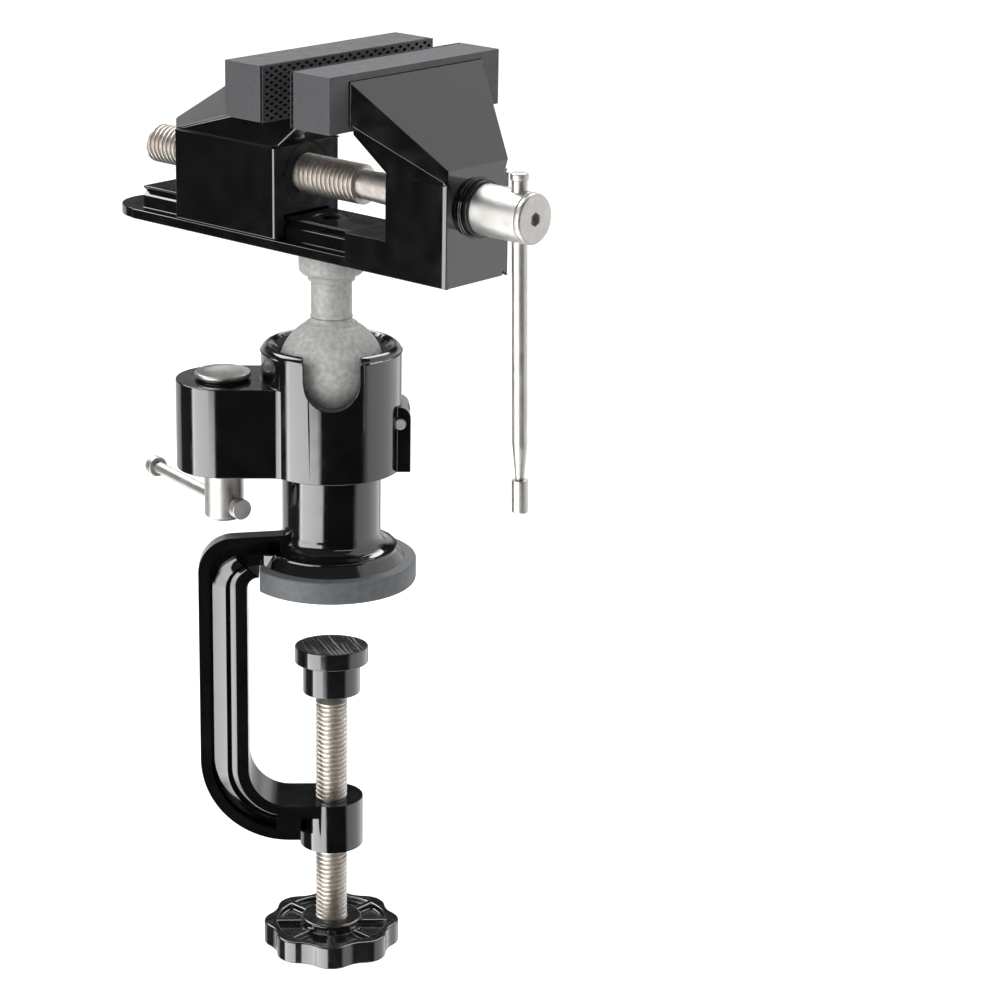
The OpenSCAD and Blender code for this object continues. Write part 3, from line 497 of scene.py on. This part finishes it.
class VISE_OT_jaw_covers(bpy.types.Operator):
    """The two charcoal covers with their knurled faces"""
    bl_idname = "vise.jaw_covers"
    bl_label = "Jaw covers"

    def execute(self, context):
        sizes = context.scene.vise_sizes
        for node, body, facing in (
                ("moving_jaw_cover", "jaw", 1), ("fixed_jaw_cover", "head", -1)):
            low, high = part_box(node)
            face = high.x if facing > 0 else low.x
            # The plain face moves back into the skin behind the pits
            back = sizes.knurl_depth + sizes.knurl_skin / 2
            cover = copy_node(node, node + "_moulded")
            pick(cover, "VERT", lambda p: abs(p[0].x - face) < WELD)
            bpy.ops.transform.translate(value=(-facing * back, 0, 0))
            round_edges(cover, sizes.cover_edge, 2)
            # A second slot of painted shade, for the pits of the sheet joined next
            two_finishes(cover, "jaw_cover", "pit")
            join(cover, knurled_sheet(node + "_teeth", face, facing, low, high, sizes))
            place(cover, body, "jaw_cover", node)
        return {"FINISHED"}


# ---- C-frame -----------------------------------------------------------------------------
# Its outline lies in the base's plane of u and z, in mm. The flanges and the web are told
# apart by how far their faces lie from that plane.

FLANGE_FACE = 9
WEB_FACE = 5
# How far off its line or its bend a point of the outline may lie
ON_LINE = 0.02
ON_BEND = 0.05
# The thin notch that the recess ends in under the arm, and the point of its mouth
NOTCH_U = (-24.9, -21.5)
NOTCH_Z = (5.35, 6.25)
NOTCH_MOUTH = (-24.8, 6.2)
# Distance from the flange's face and depth below it, of each line of the two ramps
RAMPS = ((0.8, 0.2), (2.5, 1.25), (3.2, 0.05), (3.9, 0.45), (4.9, 0.95), (6.1, 1.4),
         (7.15, 1.65), (7.3, 4))
# The wall's lower end, and how far the last line lies below it
WALL_END = (-16.7, -73.98)
WALL_END_DROP = 3.04
# The upper rim of the table flange, by its heights and its distances from the post's axis, and
# the arm that meets it
RIM_Z = (9.5, 11.1)
RIM_RADII = (20.3, 22.3)
RIM_TAPER = 0.9
ARM_START_U = -14
ARM_HALF_WIDTH = 10


def close_notch(obj, side):
    """Draws the notch together at its mouth, on both levels of the recess."""
    for level in (FLANGE_FACE, WEB_FACE):
        def in_notch(p):
            q = in_base(p[0])
            return (NOTCH_U[0] < q.x < NOTCH_U[1] and NOTCH_Z[0] < q.z < NOTCH_Z[1]
                    and abs(side * q.y - level) < ON_LINE)

        pick(obj, "VERT", in_notch)
        bpy.ops.mesh.merge(type="COLLAPSE")
        bpy.ops.object.mode_set(mode="OBJECT")
        merged = next(v.co for v in obj.data.vertices if v.select)
        move = from_base(NOTCH_MOUTH[0], side * level, NOTCH_MOUTH[1]) - merged
        bpy.ops.object.mode_set(mode="EDIT")
        bpy.ops.transform.translate(value=move)
        bpy.ops.object.mode_set(mode="OBJECT")


def hollow_web(obj, side, rise, reach):
    """Turns the wall between the inner flange and the web into two ramps with a step between.

    A narrow groove stays open along the outer flange. reach is how far the ramps run in from
    the inner flange, in mm, and rise how many times taller they end in the upper bend.
    """
    # Centre, radius, growth upwards and extent of the wall in its lower and its upper bend
    bends = ((-12.7, -58.8, 15.7, 1.2, lambda q: q.x < -16.8 and q.z < -58.7),
             (-21.6, -0.6, 6.8, rise, lambda q: q.x < -24.9 and q.z > -0.7))

    def on_wall(q, bend):
        u, z, radius, _, holds = bend
        return holds(q) and abs(math.hypot(q.x - u, q.z - z) - radius) < ON_BEND

    def at_end(q):
        return math.hypot(q.x - WALL_END[0], q.z - WALL_END[1]) < ON_BEND

    def up_the_wall(p):
        low, high = sorted((in_base(c) for c in p), key=lambda q: side * q.y)
        return (abs(side * low.y - WEB_FACE) < ON_LINE
                and abs(side * high.y - FLANGE_FACE) < ON_LINE
                and math.hypot(low.x - high.x, low.z - high.z) < ON_LINE
                and (at_end(low) or any(on_wall(low, bend) for bend in bends)))

    pick(obj, "EDGE", up_the_wall)
    bpy.ops.mesh.subdivide(number_cuts=len(RAMPS) - 1)
    for step, (distance, depth) in enumerate(RAMPS, 1):
        height = step * (FLANGE_FACE - WEB_FACE) / len(RAMPS)
        level = FLANGE_FACE - height
        share = distance / RAMPS[-1][0]
        sink = from_base(0, side * (height - depth), 0)

        def on_line(q):
            return abs(side * q.y - level) < ON_LINE

        for bend in bends:
            u, z, radius, growth, _ = bend
            pick(obj, "VERT", lambda p: on_line(in_base(p[0])) and on_wall(in_base(p[0]), bend))
            wider, taller = 1 + share * reach / radius, 1 + share * (growth - 1)
            bpy.ops.transform.resize(value=(wider, wider, taller),
                                     center_override=from_base(u, side * level, z))
            bpy.ops.transform.translate(value=sink)
        pick(obj, "VERT", lambda p: on_line(in_base(p[0])) and at_end(in_base(p[0])))
        bpy.ops.transform.translate(value=sink - Vector((0, 0, WALL_END_DROP * share * MM)))
    bpy.ops.object.mode_set(mode="OBJECT")


def on_flange_rim(p):
    """Whether a vertex lies on the table flange's upper rim, clear of the arm."""
    q = in_base(p[0])
    at_arm = q.x < ARM_START_U and abs(q.y) < ARM_HALF_WIDTH
    return (RIM_Z[0] < q.z < RIM_Z[1]
            and RIM_RADII[0] < math.hypot(q.x, q.y) < RIM_RADII[1] and not at_arm)


class VISE_OT_clamp_frame(bpy.types.Operator):
    """C-frame with its post, its flange and the hollow sides of its web"""
    bl_idname = "vise.clamp_frame"
    bl_label = "C-frame"

    def execute(self, context):
        sizes = context.scene.vise_sizes
        casting = copy_node("clamp_frame", "clamp_frame_casting")
        # In the upper bend the ramps grow upwards too, on the front side
        for side, rise in ((-1, 1.56), (1, 1.0)):
            close_notch(casting, side)
            hollow_web(casting, side, rise, sizes.web_reach / MM)
        # The flange's upright side leans in to its upper rim
        pick(casting, "VERT", on_flange_rim)
        bpy.ops.transform.resize(value=(RIM_TAPER, RIM_TAPER, 1), center_override=(0, 0, 0))
        round_edges(casting, sizes.edge, 3, clamp=True)
        place(casting, "base", "black_casting", "clamp_frame")
        return {"FINISHED"}


# ---- Ball joint --------------------------------------------------------------------------

# Faces of the housing that come nearer to the ball's vertical axis than this are inside it
CUP_RADIUS = 15.8 * MM


class VISE_OT_socket(bpy.types.Operator):
    """Socket housing with its boss and lug"""
    bl_idname = "vise.socket"
    bl_label = "Socket housing"

    def execute(self, context):
        housing = copy_node("socket_housing", "socket_housing_casting")
        round_edges(housing, context.scene.vise_sizes.socket_edge, 3)
        # The cup, its mouth and the walls of the slot get painted shade, a matt black.
        two_finishes(housing, "black_casting", "pit",
                     lambda p: min(math.hypot(c.x, c.y) for c in p) < CUP_RADIUS)
        place(housing, "base", "black_casting", "socket_housing")
        return {"FINISHED"}


class VISE_OT_ball_stud(bpy.types.Operator):
    """Cast ball with its neck and flange"""
    bl_idname = "vise.ball_stud"
    bl_label = "Ball stud"

    def execute(self, context):
        stud = copy_node("ball_stud", "ball_stud_casting")
        round_edges(stud, context.scene.vise_sizes.socket_edge, 3)
        place(stud, "stud", "grey_casting", "ball_stud")
        return {"FINISHED"}


# ---- Screws and turned steel -------------------------------------------------------------

# One tooth from root to root, as points at these shares of the depth and of the pitch, its
# depth in pitches, and the angle at which its shading breaks
TOOTH = ((0, 0), (0, 0.1), (0.78, 0.36), (1, 0.44), (1, 0.62), (0.78, 0.7), (0, 0.96), (0, 1))
TOOTH_DEPTH = 0.56
TOOTH_SHADING = math.radians(32)
STEPS_PER_TURN = 36
# Turns that a helix is made longer by at each end, before its ends are cut flat
SPARE_TURNS = 1.5
# The vise screw's thread ends this far before the fixed jaw's cover, and the clamp screw's
# this far below its tip
VISE_THREAD_STOP = 4.6 * MM
CLAMP_THREAD_STOP = 14.5 * MM
# How far the plain pieces reach into their threads, and the share of its width that the vise
# screw keeps there
VISE_OVERLAP = 0.4 * MM
CLAMP_OVERLAP = 0.3 * MM
VISE_CORE = 0.84


def thread(name, low, high, radius, pitch):
    """A thread round the Z axis between two heights, its ends cut flat and closed."""
    depth = TOOTH_DEPTH * pitch
    bpy.ops.mesh.primitive_plane_add(size=pitch)
    obj = bpy.context.object
    obj.name = obj.data.name = name
    edit_all(obj)
    bpy.ops.mesh.merge(type="CENTER")
    bpy.ops.transform.translate(value=(radius - depth, 0, low - SPARE_TURNS * pitch))
    for (d0, h0), (d1, h1) in zip(TOOTH, TOOTH[1:]):
        bpy.ops.mesh.extrude_vertices_move(
            TRANSFORM_OT_translate={"value": ((d1 - d0) * depth, 0, (h1 - h0) * pitch)})
    bpy.ops.object.mode_set(mode="OBJECT")
    turns = obj.modifiers.new("Turns", "SCREW")
    turns.axis = "Z"
    turns.screw_offset = pitch
    turns.iterations = math.ceil((high - low) / pitch + 2 * SPARE_TURNS)
    turns.steps = turns.render_steps = STEPS_PER_TURN
    turns.use_merge_vertices = True
    turns.merge_threshold = WELD / 2
    turns.use_smooth_shade = False
    apply(obj, turns)
    edit_all(obj)
    bpy.ops.mesh.remove_doubles(threshold=WELD / 2)
    for height, up in ((high, 1), (low, -1)):
        cut_off(obj, (0, 0, height), (0, 0, up))
    edit_all(obj)
    bpy.ops.mesh.normals_make_consistent(inside=False)
    bpy.ops.object.mode_set(mode="OBJECT")
    bpy.ops.object.shade_smooth_by_angle(angle=TOOTH_SHADING)
    return obj


def vise_screw(sizes):
    """The plain length that the thread stands for is cut off, and a helix put in its place."""
    low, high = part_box("lead_screw")
    radius, axis_z = (high.z - low.z) / 2, (high.z + low.z) / 2
    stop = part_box("fixed_jaw_cover")[0].x - VISE_THREAD_STOP
    shank = copy_node("lead_screw", "vise_screw")
    cut_off(shank, (stop - VISE_OVERLAP, 0, 0), (-1, 0, 0))
    # What is left of the plain length is narrowed, so that it lies inside the helix
    pick(shank, "VERT", lambda p: p[0].x < stop + WELD)
    bpy.ops.transform.resize(value=(1, VISE_CORE, VISE_CORE), center_override=(0, 0, axis_z))
    round_edges(shank, sizes.shank_edge, 2)
    helix = thread("vise_thread", low.x, stop, radius, sizes.vise_pitch)
    helix.matrix_world = (
        Matrix.Translation((0, 0, axis_z)) @ Matrix.Rotation(math.radians(90), 4, "Y"))
    work_on(helix)
    bpy.ops.object.transform_apply(location=True, rotation=True, scale=True)
    join(shank, helix)
    return shank


def clamp_screw(sizes):
    """The ball tip and its neck, with a helix below them."""
    low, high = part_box("clamp_screw")
    stop = high.z - CLAMP_THREAD_STOP
    tip = copy_node("clamp_screw", "clamp_screw_threaded")
    cut_off(tip, (0, 0, stop - CLAMP_OVERLAP), (0, 0, -1))
    bpy.ops.object.shade_smooth_by_angle(angle=SHARP)
    join(tip, thread("clamp_thread", low.z, stop, (high.x - low.x) / 2, sizes.clamp_pitch))
    return tip


class VISE_OT_screws(bpy.types.Operator):
    """Vise screw and clamp screw with their threads"""
    bl_idname = "vise.screws"
    bl_label = "Threaded screws"

    def execute(self, context):
        sizes = context.scene.vise_sizes
        place(vise_screw(sizes), "screw", "screw_steel", "lead_screw")
        place(clamp_screw(sizes), "clamp", "screw_steel", "clamp_screw")
        return {"FINISHED"}


class VISE_OT_turned_steel(bpy.types.Operator):
    """Turned steel pieces with rounded edges: handle, barrel, lock bolt, lock bar"""
    bl_idname = "vise.turned_steel"
    bl_label = "Turned steel"

    def execute(self, context):
        for node, body, slot in (
                ("screw_barrel", "screw", "bright_steel"), ("end_cap", "screw", "bright_steel"),
                ("thrust_washer", "screw", "dark_washer"), ("handle_bar", "handle", "bright_steel"),
                ("handle_caps", "handle", "bright_steel"), ("lock_bolt", "base", "bright_steel"),
                ("bolt_washer", "base", "dark_washer"), ("lever_pin", "base", "screw_steel"),
                ("lock_nut", "lock", "bright_steel"), ("lock_bar", "lock_handle", "bright_steel"),
                ("lock_bar_caps", "lock_handle", "bright_steel")):
            piece = copy_node(node, node + "_turned")
            round_edges(piece, context.scene.vise_sizes.steel_edge, 2)
            place(piece, body, slot, node)
        return {"FINISHED"}


# ---- Plastic and inner pieces ------------------------------------------------------------

# The ridges run square to this direction, which is turned from the base's arm
RIDGE_TURN = math.radians(13)
# How far off its groove a vertex may lie, in half pitches
ON_GROOVE = 0.01


def serrate(obj, pitch, depth):
    """Straight ridges across the flat top of the swivel pad, which stands a little tilted."""
    top = max(obj.data.polygons, key=lambda face: face.area)
    normal, centre = top.normal.copy(), top.center.copy()
    across = from_base(math.cos(RIDGE_TURN), math.sin(RIDGE_TURN), 0)
    across = (across - normal * across.dot(normal)).normalized()

    def lines(p):
        """How many half pitches a point lies from the middle."""
        return 2 * (p - centre).dot(across) / pitch

    def on_top(p):
        return abs((p - centre).dot(normal)) < WELD

    def in_groove(p):
        nearest = round(lines(p[0]))
        return on_top(p[0]) and nearest % 2 and abs(lines(p[0]) - nearest) < ON_GROOVE

    count = math.floor(max(lines(v.co) for v in obj.data.vertices if on_top(v.co)))
    for line in range(-count, count + 1):
        pick(obj, "FACE", lambda p: all(on_top(c) for c in p))
        bpy.ops.mesh.bisect(plane_co=centre + across * line * pitch / 2, plane_no=across)
    pick(obj, "VERT", in_groove)
    bpy.ops.transform.translate(value=normal * -depth)
    bpy.ops.object.mode_set(mode="OBJECT")
    bpy.ops.object.shade_smooth_by_angle(angle=SHARP)


class VISE_OT_plastics(bpy.types.Operator):
    """Table pad, serrated swivel pad and the lobed knob"""
    bl_idname = "vise.plastics"
    bl_label = "Plastic pieces"

    def execute(self, context):
        sizes = context.scene.vise_sizes
        pad = copy_node("table_pad", "table_pad_moulded")
        round_edges(pad, sizes.plastic_edge, 3)
        place(pad, "base", "table_pad", "table_pad")

        knob = copy_node("hand_knob", "hand_knob_moulded")
        round_edges(knob, sizes.plastic_edge, 3)
        place(knob, "clamp", "knob_plastic", "hand_knob")

        swivel = copy_node("swivel_pad", "swivel_pad_serrated")
        round_edges(swivel, sizes.swivel_edge, 3)
        serrate(swivel, sizes.serration, sizes.serration_depth)
        place(swivel, "swivel", "swivel_plastic", "swivel_pad")
        return {"FINISHED"}


class VISE_OT_inner_pieces(bpy.types.Operator):
    """Finishes on the CAD pieces that keep their own shape"""
    bl_idname = "vise.inner_pieces"
    bl_label = "Inner pieces"

    def execute(self, context):
        # The jaw nut's face, in the dark round the thread, gets painted shade, a matt black
        for node, slot in (
                ("housing_screws", "screw_steel"), ("ball_seat", "grey_casting"),
                ("clamp_lever", "screw_steel"), ("lock_washer", "screw_steel"),
                ("pad_clip", "screw_steel"), ("screw_clip", "screw_steel"),
                ("jaw_nut", "pit"), ("knob_nut", "screw_steel"), ("stud_bolt", "dark_washer")):
            mesh = NODES[node].data
            mesh.materials.clear()
            mesh.materials.append(finish_of(slot))
        return {"FINISHED"}


# ---- Stage -------------------------------------------------------------------------------

# Each lamp by its angle from the camera round and up, its distance from the point that it is
# aimed at, its width and height in metres, and its watts
LAMPS = (
    ("Left soft box", -48, 32, 1.2, (0.7, 1.0), 9),
    ("Right soft box", 70, 30, 1.4, (0.8, 1.0), 5),
    ("Top soft box", 170, 70, 1.2, (1.0, 1.0), 3.8),
)
LAMP_AIM = Vector((0, 0, 0.03))

# The room that gloss and metal see, as rings of brightness. Each ring is (degrees from the
# camera, brightness), with the camera's left below 0.
RINGS = {
    "floor": ((-145, 0.9), (-135, 3.6), (-62, 3.6), (-50, 2.4), (40, 2.4), (50, 0.9)),
    "low walls": ((-180, 1.0), (-126, 1.0), (-121, 0.08), (-81, 0.05), (-76, 8), (-71, 6),
                  (-22, 5), (-17, 0.02), (52, 0.02), (64, 1.1), (100, 1.3), (145, 1.8),
                  (155, 0.5), (180, 1.0)),
    "walls": ((-180, 1.0), (-127, 1.0), (-121, 0.04), (-81, 0.03), (-76, 6), (-71, 5),
              (-36, 5), (-31, 0.02), (52, 0.02), (64, 1.2), (100, 1.4), (145, 1.8),
              (155, 0.5), (180, 1.0)),
    "pale back wall": ((-176, 0.06), (-170, 0.9), (-150, 0.6), (-126, 0.2), (-81, 0.03),
                       (-76, 6), (-22, 5), (-17, 0.02), (52, 0.02), (64, 1.2), (140, 1.2),
                       (150, 0.9), (170, 0.9), (176, 0.06)),
    "grey back wall": ((-176, 0.4), (-150, 0.3), (-120, 0.1), (-81, 0.03), (-76, 6), (-22, 5),
                       (-17, 0.02), (52, 0.02), (64, 1.2), (130, 1.2), (150, 0.4),
                       (176, 0.4)),
    "dark back wall": ((-140, 0.04), (-81, 0.03), (-76, 6), (-22, 5), (-17, 0.02), (52, 0.02),
                       (64, 1.1), (120, 1.1), (145, 0.04)),
    "upper walls": ((-140, 0.04), (-22, 0.03), (52, 0.02), (64, 1.1), (120, 1.1),
                    (145, 0.04)),
    "back lights": ((-104, 7), (-97, 0.1), (52, 0.1), (64, 1.0), (130, 1.0), (150, 7)),
    "front light": ((-104, 7), (-97, 0.1), (2, 0.1), (12, 3), (55, 3), (64, 1.0), (130, 1.0),
                    (150, 7)),
    "ceiling": ((-180, 0.15), (180, 0.15)),
}
# The rings from the floor up, each with the two elevations in degrees between which it takes
# over from the one below
ROOM = (
    ("low walls", -38, -30), ("walls", -17, -14), ("pale back wall", -2, 6),
    ("grey back wall", 13, 15.5), ("dark back wall", 17, 19.5), ("upper walls", 22, 24),
    ("back lights", 33, 35), ("front light", 35, 36), ("back lights", 38, 39),
    ("ceiling", 60, 66),
)
# Colours in a ramp end at 1, so a ring's brightness is kept as a share of this
BRIGHTEST = 8.0
# Strength of the world's light on matt surfaces
AMBIENT = 0.45
# Glow that turns the floor's shade of grey to white for the camera
FLOOR_GLOW = 0.64


def direction_at(azimuth, elevation):
    """The direction from the vise to a place round it, with azimuth 0 in front."""
    return Vector((math.sin(azimuth) * math.cos(elevation),
                   -math.cos(azimuth) * math.cos(elevation), math.sin(elevation)))


def soft_lamp(name, azimuth, elevation, distance, size, power):
    """A large area lamp that lights matt surfaces and shows in no reflection."""
    data = bpy.data.lights.new(name, "AREA")
    data.shape = "RECTANGLE"
    data.size, data.size_y = size
    data.energy = power
    lamp = bpy.data.objects.new(name, data)
    bpy.context.scene.collection.objects.link(lamp)
    out = direction_at(VIEW_AZIMUTH + math.radians(azimuth), math.radians(elevation))
    lamp.location = LAMP_AIM + out * distance
    lamp.rotation_mode = "QUATERNION"
    lamp.rotation_quaternion = (-out).to_track_quat("-Z", "Y")
    lamp.visible_glossy = False


def studio_world():
    """White to the camera, even light on matt surfaces, and the room of rings in gloss."""
    world = bpy.data.worlds.new("Studio")
    bpy.context.scene.world = world
    world.use_nodes = True
    world.cycles.sampling_method = "NONE"
    nodes, links = world.node_tree.nodes, world.node_tree.links
    nodes.clear()
    sky = nodes.new("ShaderNodeTexCoord").outputs["Generated"]

    def calculate(operation, *values):
        node = nodes.new("ShaderNodeMath")
        node.operation = operation
        for socket, value in zip(node.inputs, values):
            if isinstance(value, float):
                socket.default_value = value
            else:
                links.new(value, socket)
        return node.outputs["Value"]

    def along(direction):
        node = nodes.new("ShaderNodeVectorMath")
        node.operation = "DOT_PRODUCT"
        links.new(sky, node.inputs[0])
        node.inputs[1].default_value = direction
        return node.outputs["Value"]

    def ring(stops):
        node = nodes.new("ShaderNodeValToRGB")
        elements = node.color_ramp.elements
        while len(elements) < len(stops):
            elements.new(0.5)
        for element, (degrees, brightness) in zip(elements, stops):
            element.position = 0.5 + degrees / 360
            element.color = (*[brightness / BRIGHTEST] * 3, 1)
        links.new(share, node.inputs["Fac"])
        return node.outputs["Color"]

    def over(below, above, start, end):
        mix = nodes.new("ShaderNodeMix")
        mix.data_type = "RGBA"
        limits = nodes.new("ShaderNodeMapRange")
        limits.inputs["From Min"].default_value = math.sin(math.radians(start))
        limits.inputs["From Max"].default_value = math.sin(math.radians(end))
        links.new(height, limits.inputs["Value"])
        links.new(limits.outputs["Result"], mix.inputs["Factor"])
        # The two colours, and their mixture, behind the sockets of the node's other data types
        links.new(below, mix.inputs[6])
        links.new(above, mix.inputs[7])
        return mix.outputs[2]

    def background(strength):
        node = nodes.new("ShaderNodeBackground")
        node.inputs["Color"].default_value = (1, 1, 1, 1)
        node.inputs["Strength"].default_value = strength
        return node

    def choose(share_of_second, first, second):
        node = nodes.new("ShaderNodeMixShader")
        for socket, value in zip(node.inputs, (share_of_second, first, second)):
            links.new(value, socket)
        return node.outputs["Shader"]

    # From 0, behind the vise on the left, over 0.5, at the camera, to 1, behind it on the right
    s, c = math.sin(VIEW_AZIMUTH), math.cos(VIEW_AZIMUTH)
    turn = calculate("ARCTAN2", along((c, s, 0)), along((s, -c, 0)))
    share = calculate("ADD", calculate("MULTIPLY", turn, 1 / math.tau), 0.5)
    height = along((0, 0, 1))
    rings = {name: ring(stops) for name, stops in RINGS.items()}
    sight = rings["floor"]
    for name, start, end in ROOM:
        sight = over(sight, rings[name], start, end)
    room = background(BRIGHTEST)
    links.new(sight, room.inputs["Color"])
    path = nodes.new("ShaderNodeLightPath").outputs
    mirrored = calculate("MAXIMUM", path["Is Glossy Ray"], path["Is Transmission Ray"])
    seen = choose(mirrored, background(AMBIENT).outputs[0], room.outputs[0])
    final = choose(path["Is Camera Ray"], seen, background(1.0).outputs[0])
    links.new(final, nodes.new("ShaderNodeOutputWorld").inputs["Surface"])


def floor_material():
    """Pale floor that looks white where nothing shades it."""
    material = bpy.data.materials.new("Pale floor")
    material.use_nodes = True
    nodes, links = material.node_tree.nodes, material.node_tree.links
    shader = nodes["Principled BSDF"]
    shader.inputs["Base Color"].default_value = (0.82, 0.82, 0.82, 1)
    shader.inputs["Roughness"].default_value = 0.9
    shader.inputs["Emission Color"].default_value = (1, 1, 1, 1)
    path = nodes.new("ShaderNodeLightPath")
    glow = nodes.new("ShaderNodeMath")
    glow.operation = "MULTIPLY"
    glow.inputs[1].default_value = FLOOR_GLOW
    links.new(path.outputs["Is Camera Ray"], glow.inputs[0])
    links.new(glow.outputs["Value"], shader.inputs["Emission Strength"])
    return material


def photo_camera():
    """The camera of the photograph's view."""
    data = bpy.data.cameras.new("Camera")
    data.lens = VIEW_LENS
    data.sensor_width = 36
    data.clip_start = 0.05
    data.clip_end = 50
    camera = bpy.data.objects.new("Camera", data)
    bpy.context.scene.collection.objects.link(camera)
    back = direction_at(VIEW_AZIMUTH, VIEW_ELEVATION)
    camera.location = VIEW_TARGET + back * VIEW_DISTANCE
    camera.rotation_mode = "QUATERNION"
    camera.rotation_quaternion = (
        (-back).to_track_quat("-Z", "Y") @ Quaternion((0, 1, 0), -VIEW_TURN))
    return camera


class VISE_OT_stage(bpy.types.Operator):
    """Floor, lamps, white world and the camera"""
    bl_idname = "vise.stage"
    bl_label = "Stage"

    def execute(self, context):
        scene = context.scene
        work_on(None)
        # The floor lies at the lowest place that the clamp screw turns the knob to
        clamp = next(joint for joint in frame["joints"] if joint["name"] == "clamp_travel")
        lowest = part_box("hand_knob")[0].z + clamp["range_m"][0]
        bpy.ops.mesh.primitive_plane_add(size=30, location=(0, 0, lowest))
        floor = context.object
        floor.name = floor.data.name = "floor"
        floor.data.materials.append(floor_material())
        floor.visible_glossy = False
        for lamp in LAMPS:
            soft_lamp(*lamp)
        studio_world()
        scene.camera = photo_camera()
        scene.view_settings.view_transform = "Standard"
        return {"FINISHED"}


OPERATORS = (
    VISE_OT_head_castings, VISE_OT_jaw_covers, VISE_OT_clamp_frame, VISE_OT_socket,
    VISE_OT_ball_stud, VISE_OT_screws, VISE_OT_turned_steel, VISE_OT_plastics,
    VISE_OT_inner_pieces, VISE_OT_stage,
)


class VISE_PT_sidebar(bpy.types.Panel):
    """The vise's sizes and colours, and its pieces in the order in which they are built"""
    bl_idname = "VISE_PT_sidebar"
    bl_label = "Bench vise"
    bl_space_type = "VIEW_3D"
    bl_region_type = "UI"
    bl_category = "Bench vise"

    def draw(self, context):
        for settings in (context.scene.vise_sizes, context.scene.vise_colours):
            box = self.layout.box()
            for name in settings.__annotations__:
                box.prop(settings, name)
        for operator in OPERATORS:
            self.layout.operator(operator.bl_idname)


CLASSES = (ViseSizes, ViseColours, *OPERATORS, VISE_PT_sidebar)


def register():
    for cls in CLASSES:
        bpy.utils.register_class(cls)
    bpy.types.Scene.vise_sizes = bpy.props.PointerProperty(type=ViseSizes)
    bpy.types.Scene.vise_colours = bpy.props.PointerProperty(type=ViseColours)


def unregister():
    del bpy.types.Scene.vise_colours
    del bpy.types.Scene.vise_sizes
    for cls in reversed(CLASSES):
        bpy.utils.unregister_class(cls)


def main():
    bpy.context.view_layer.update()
    register()
    for operator in OPERATORS:
        group, name = operator.bl_idname.split(".")
        getattr(getattr(bpy.ops, group), name)()


if __name__ == "__main__":
    main()
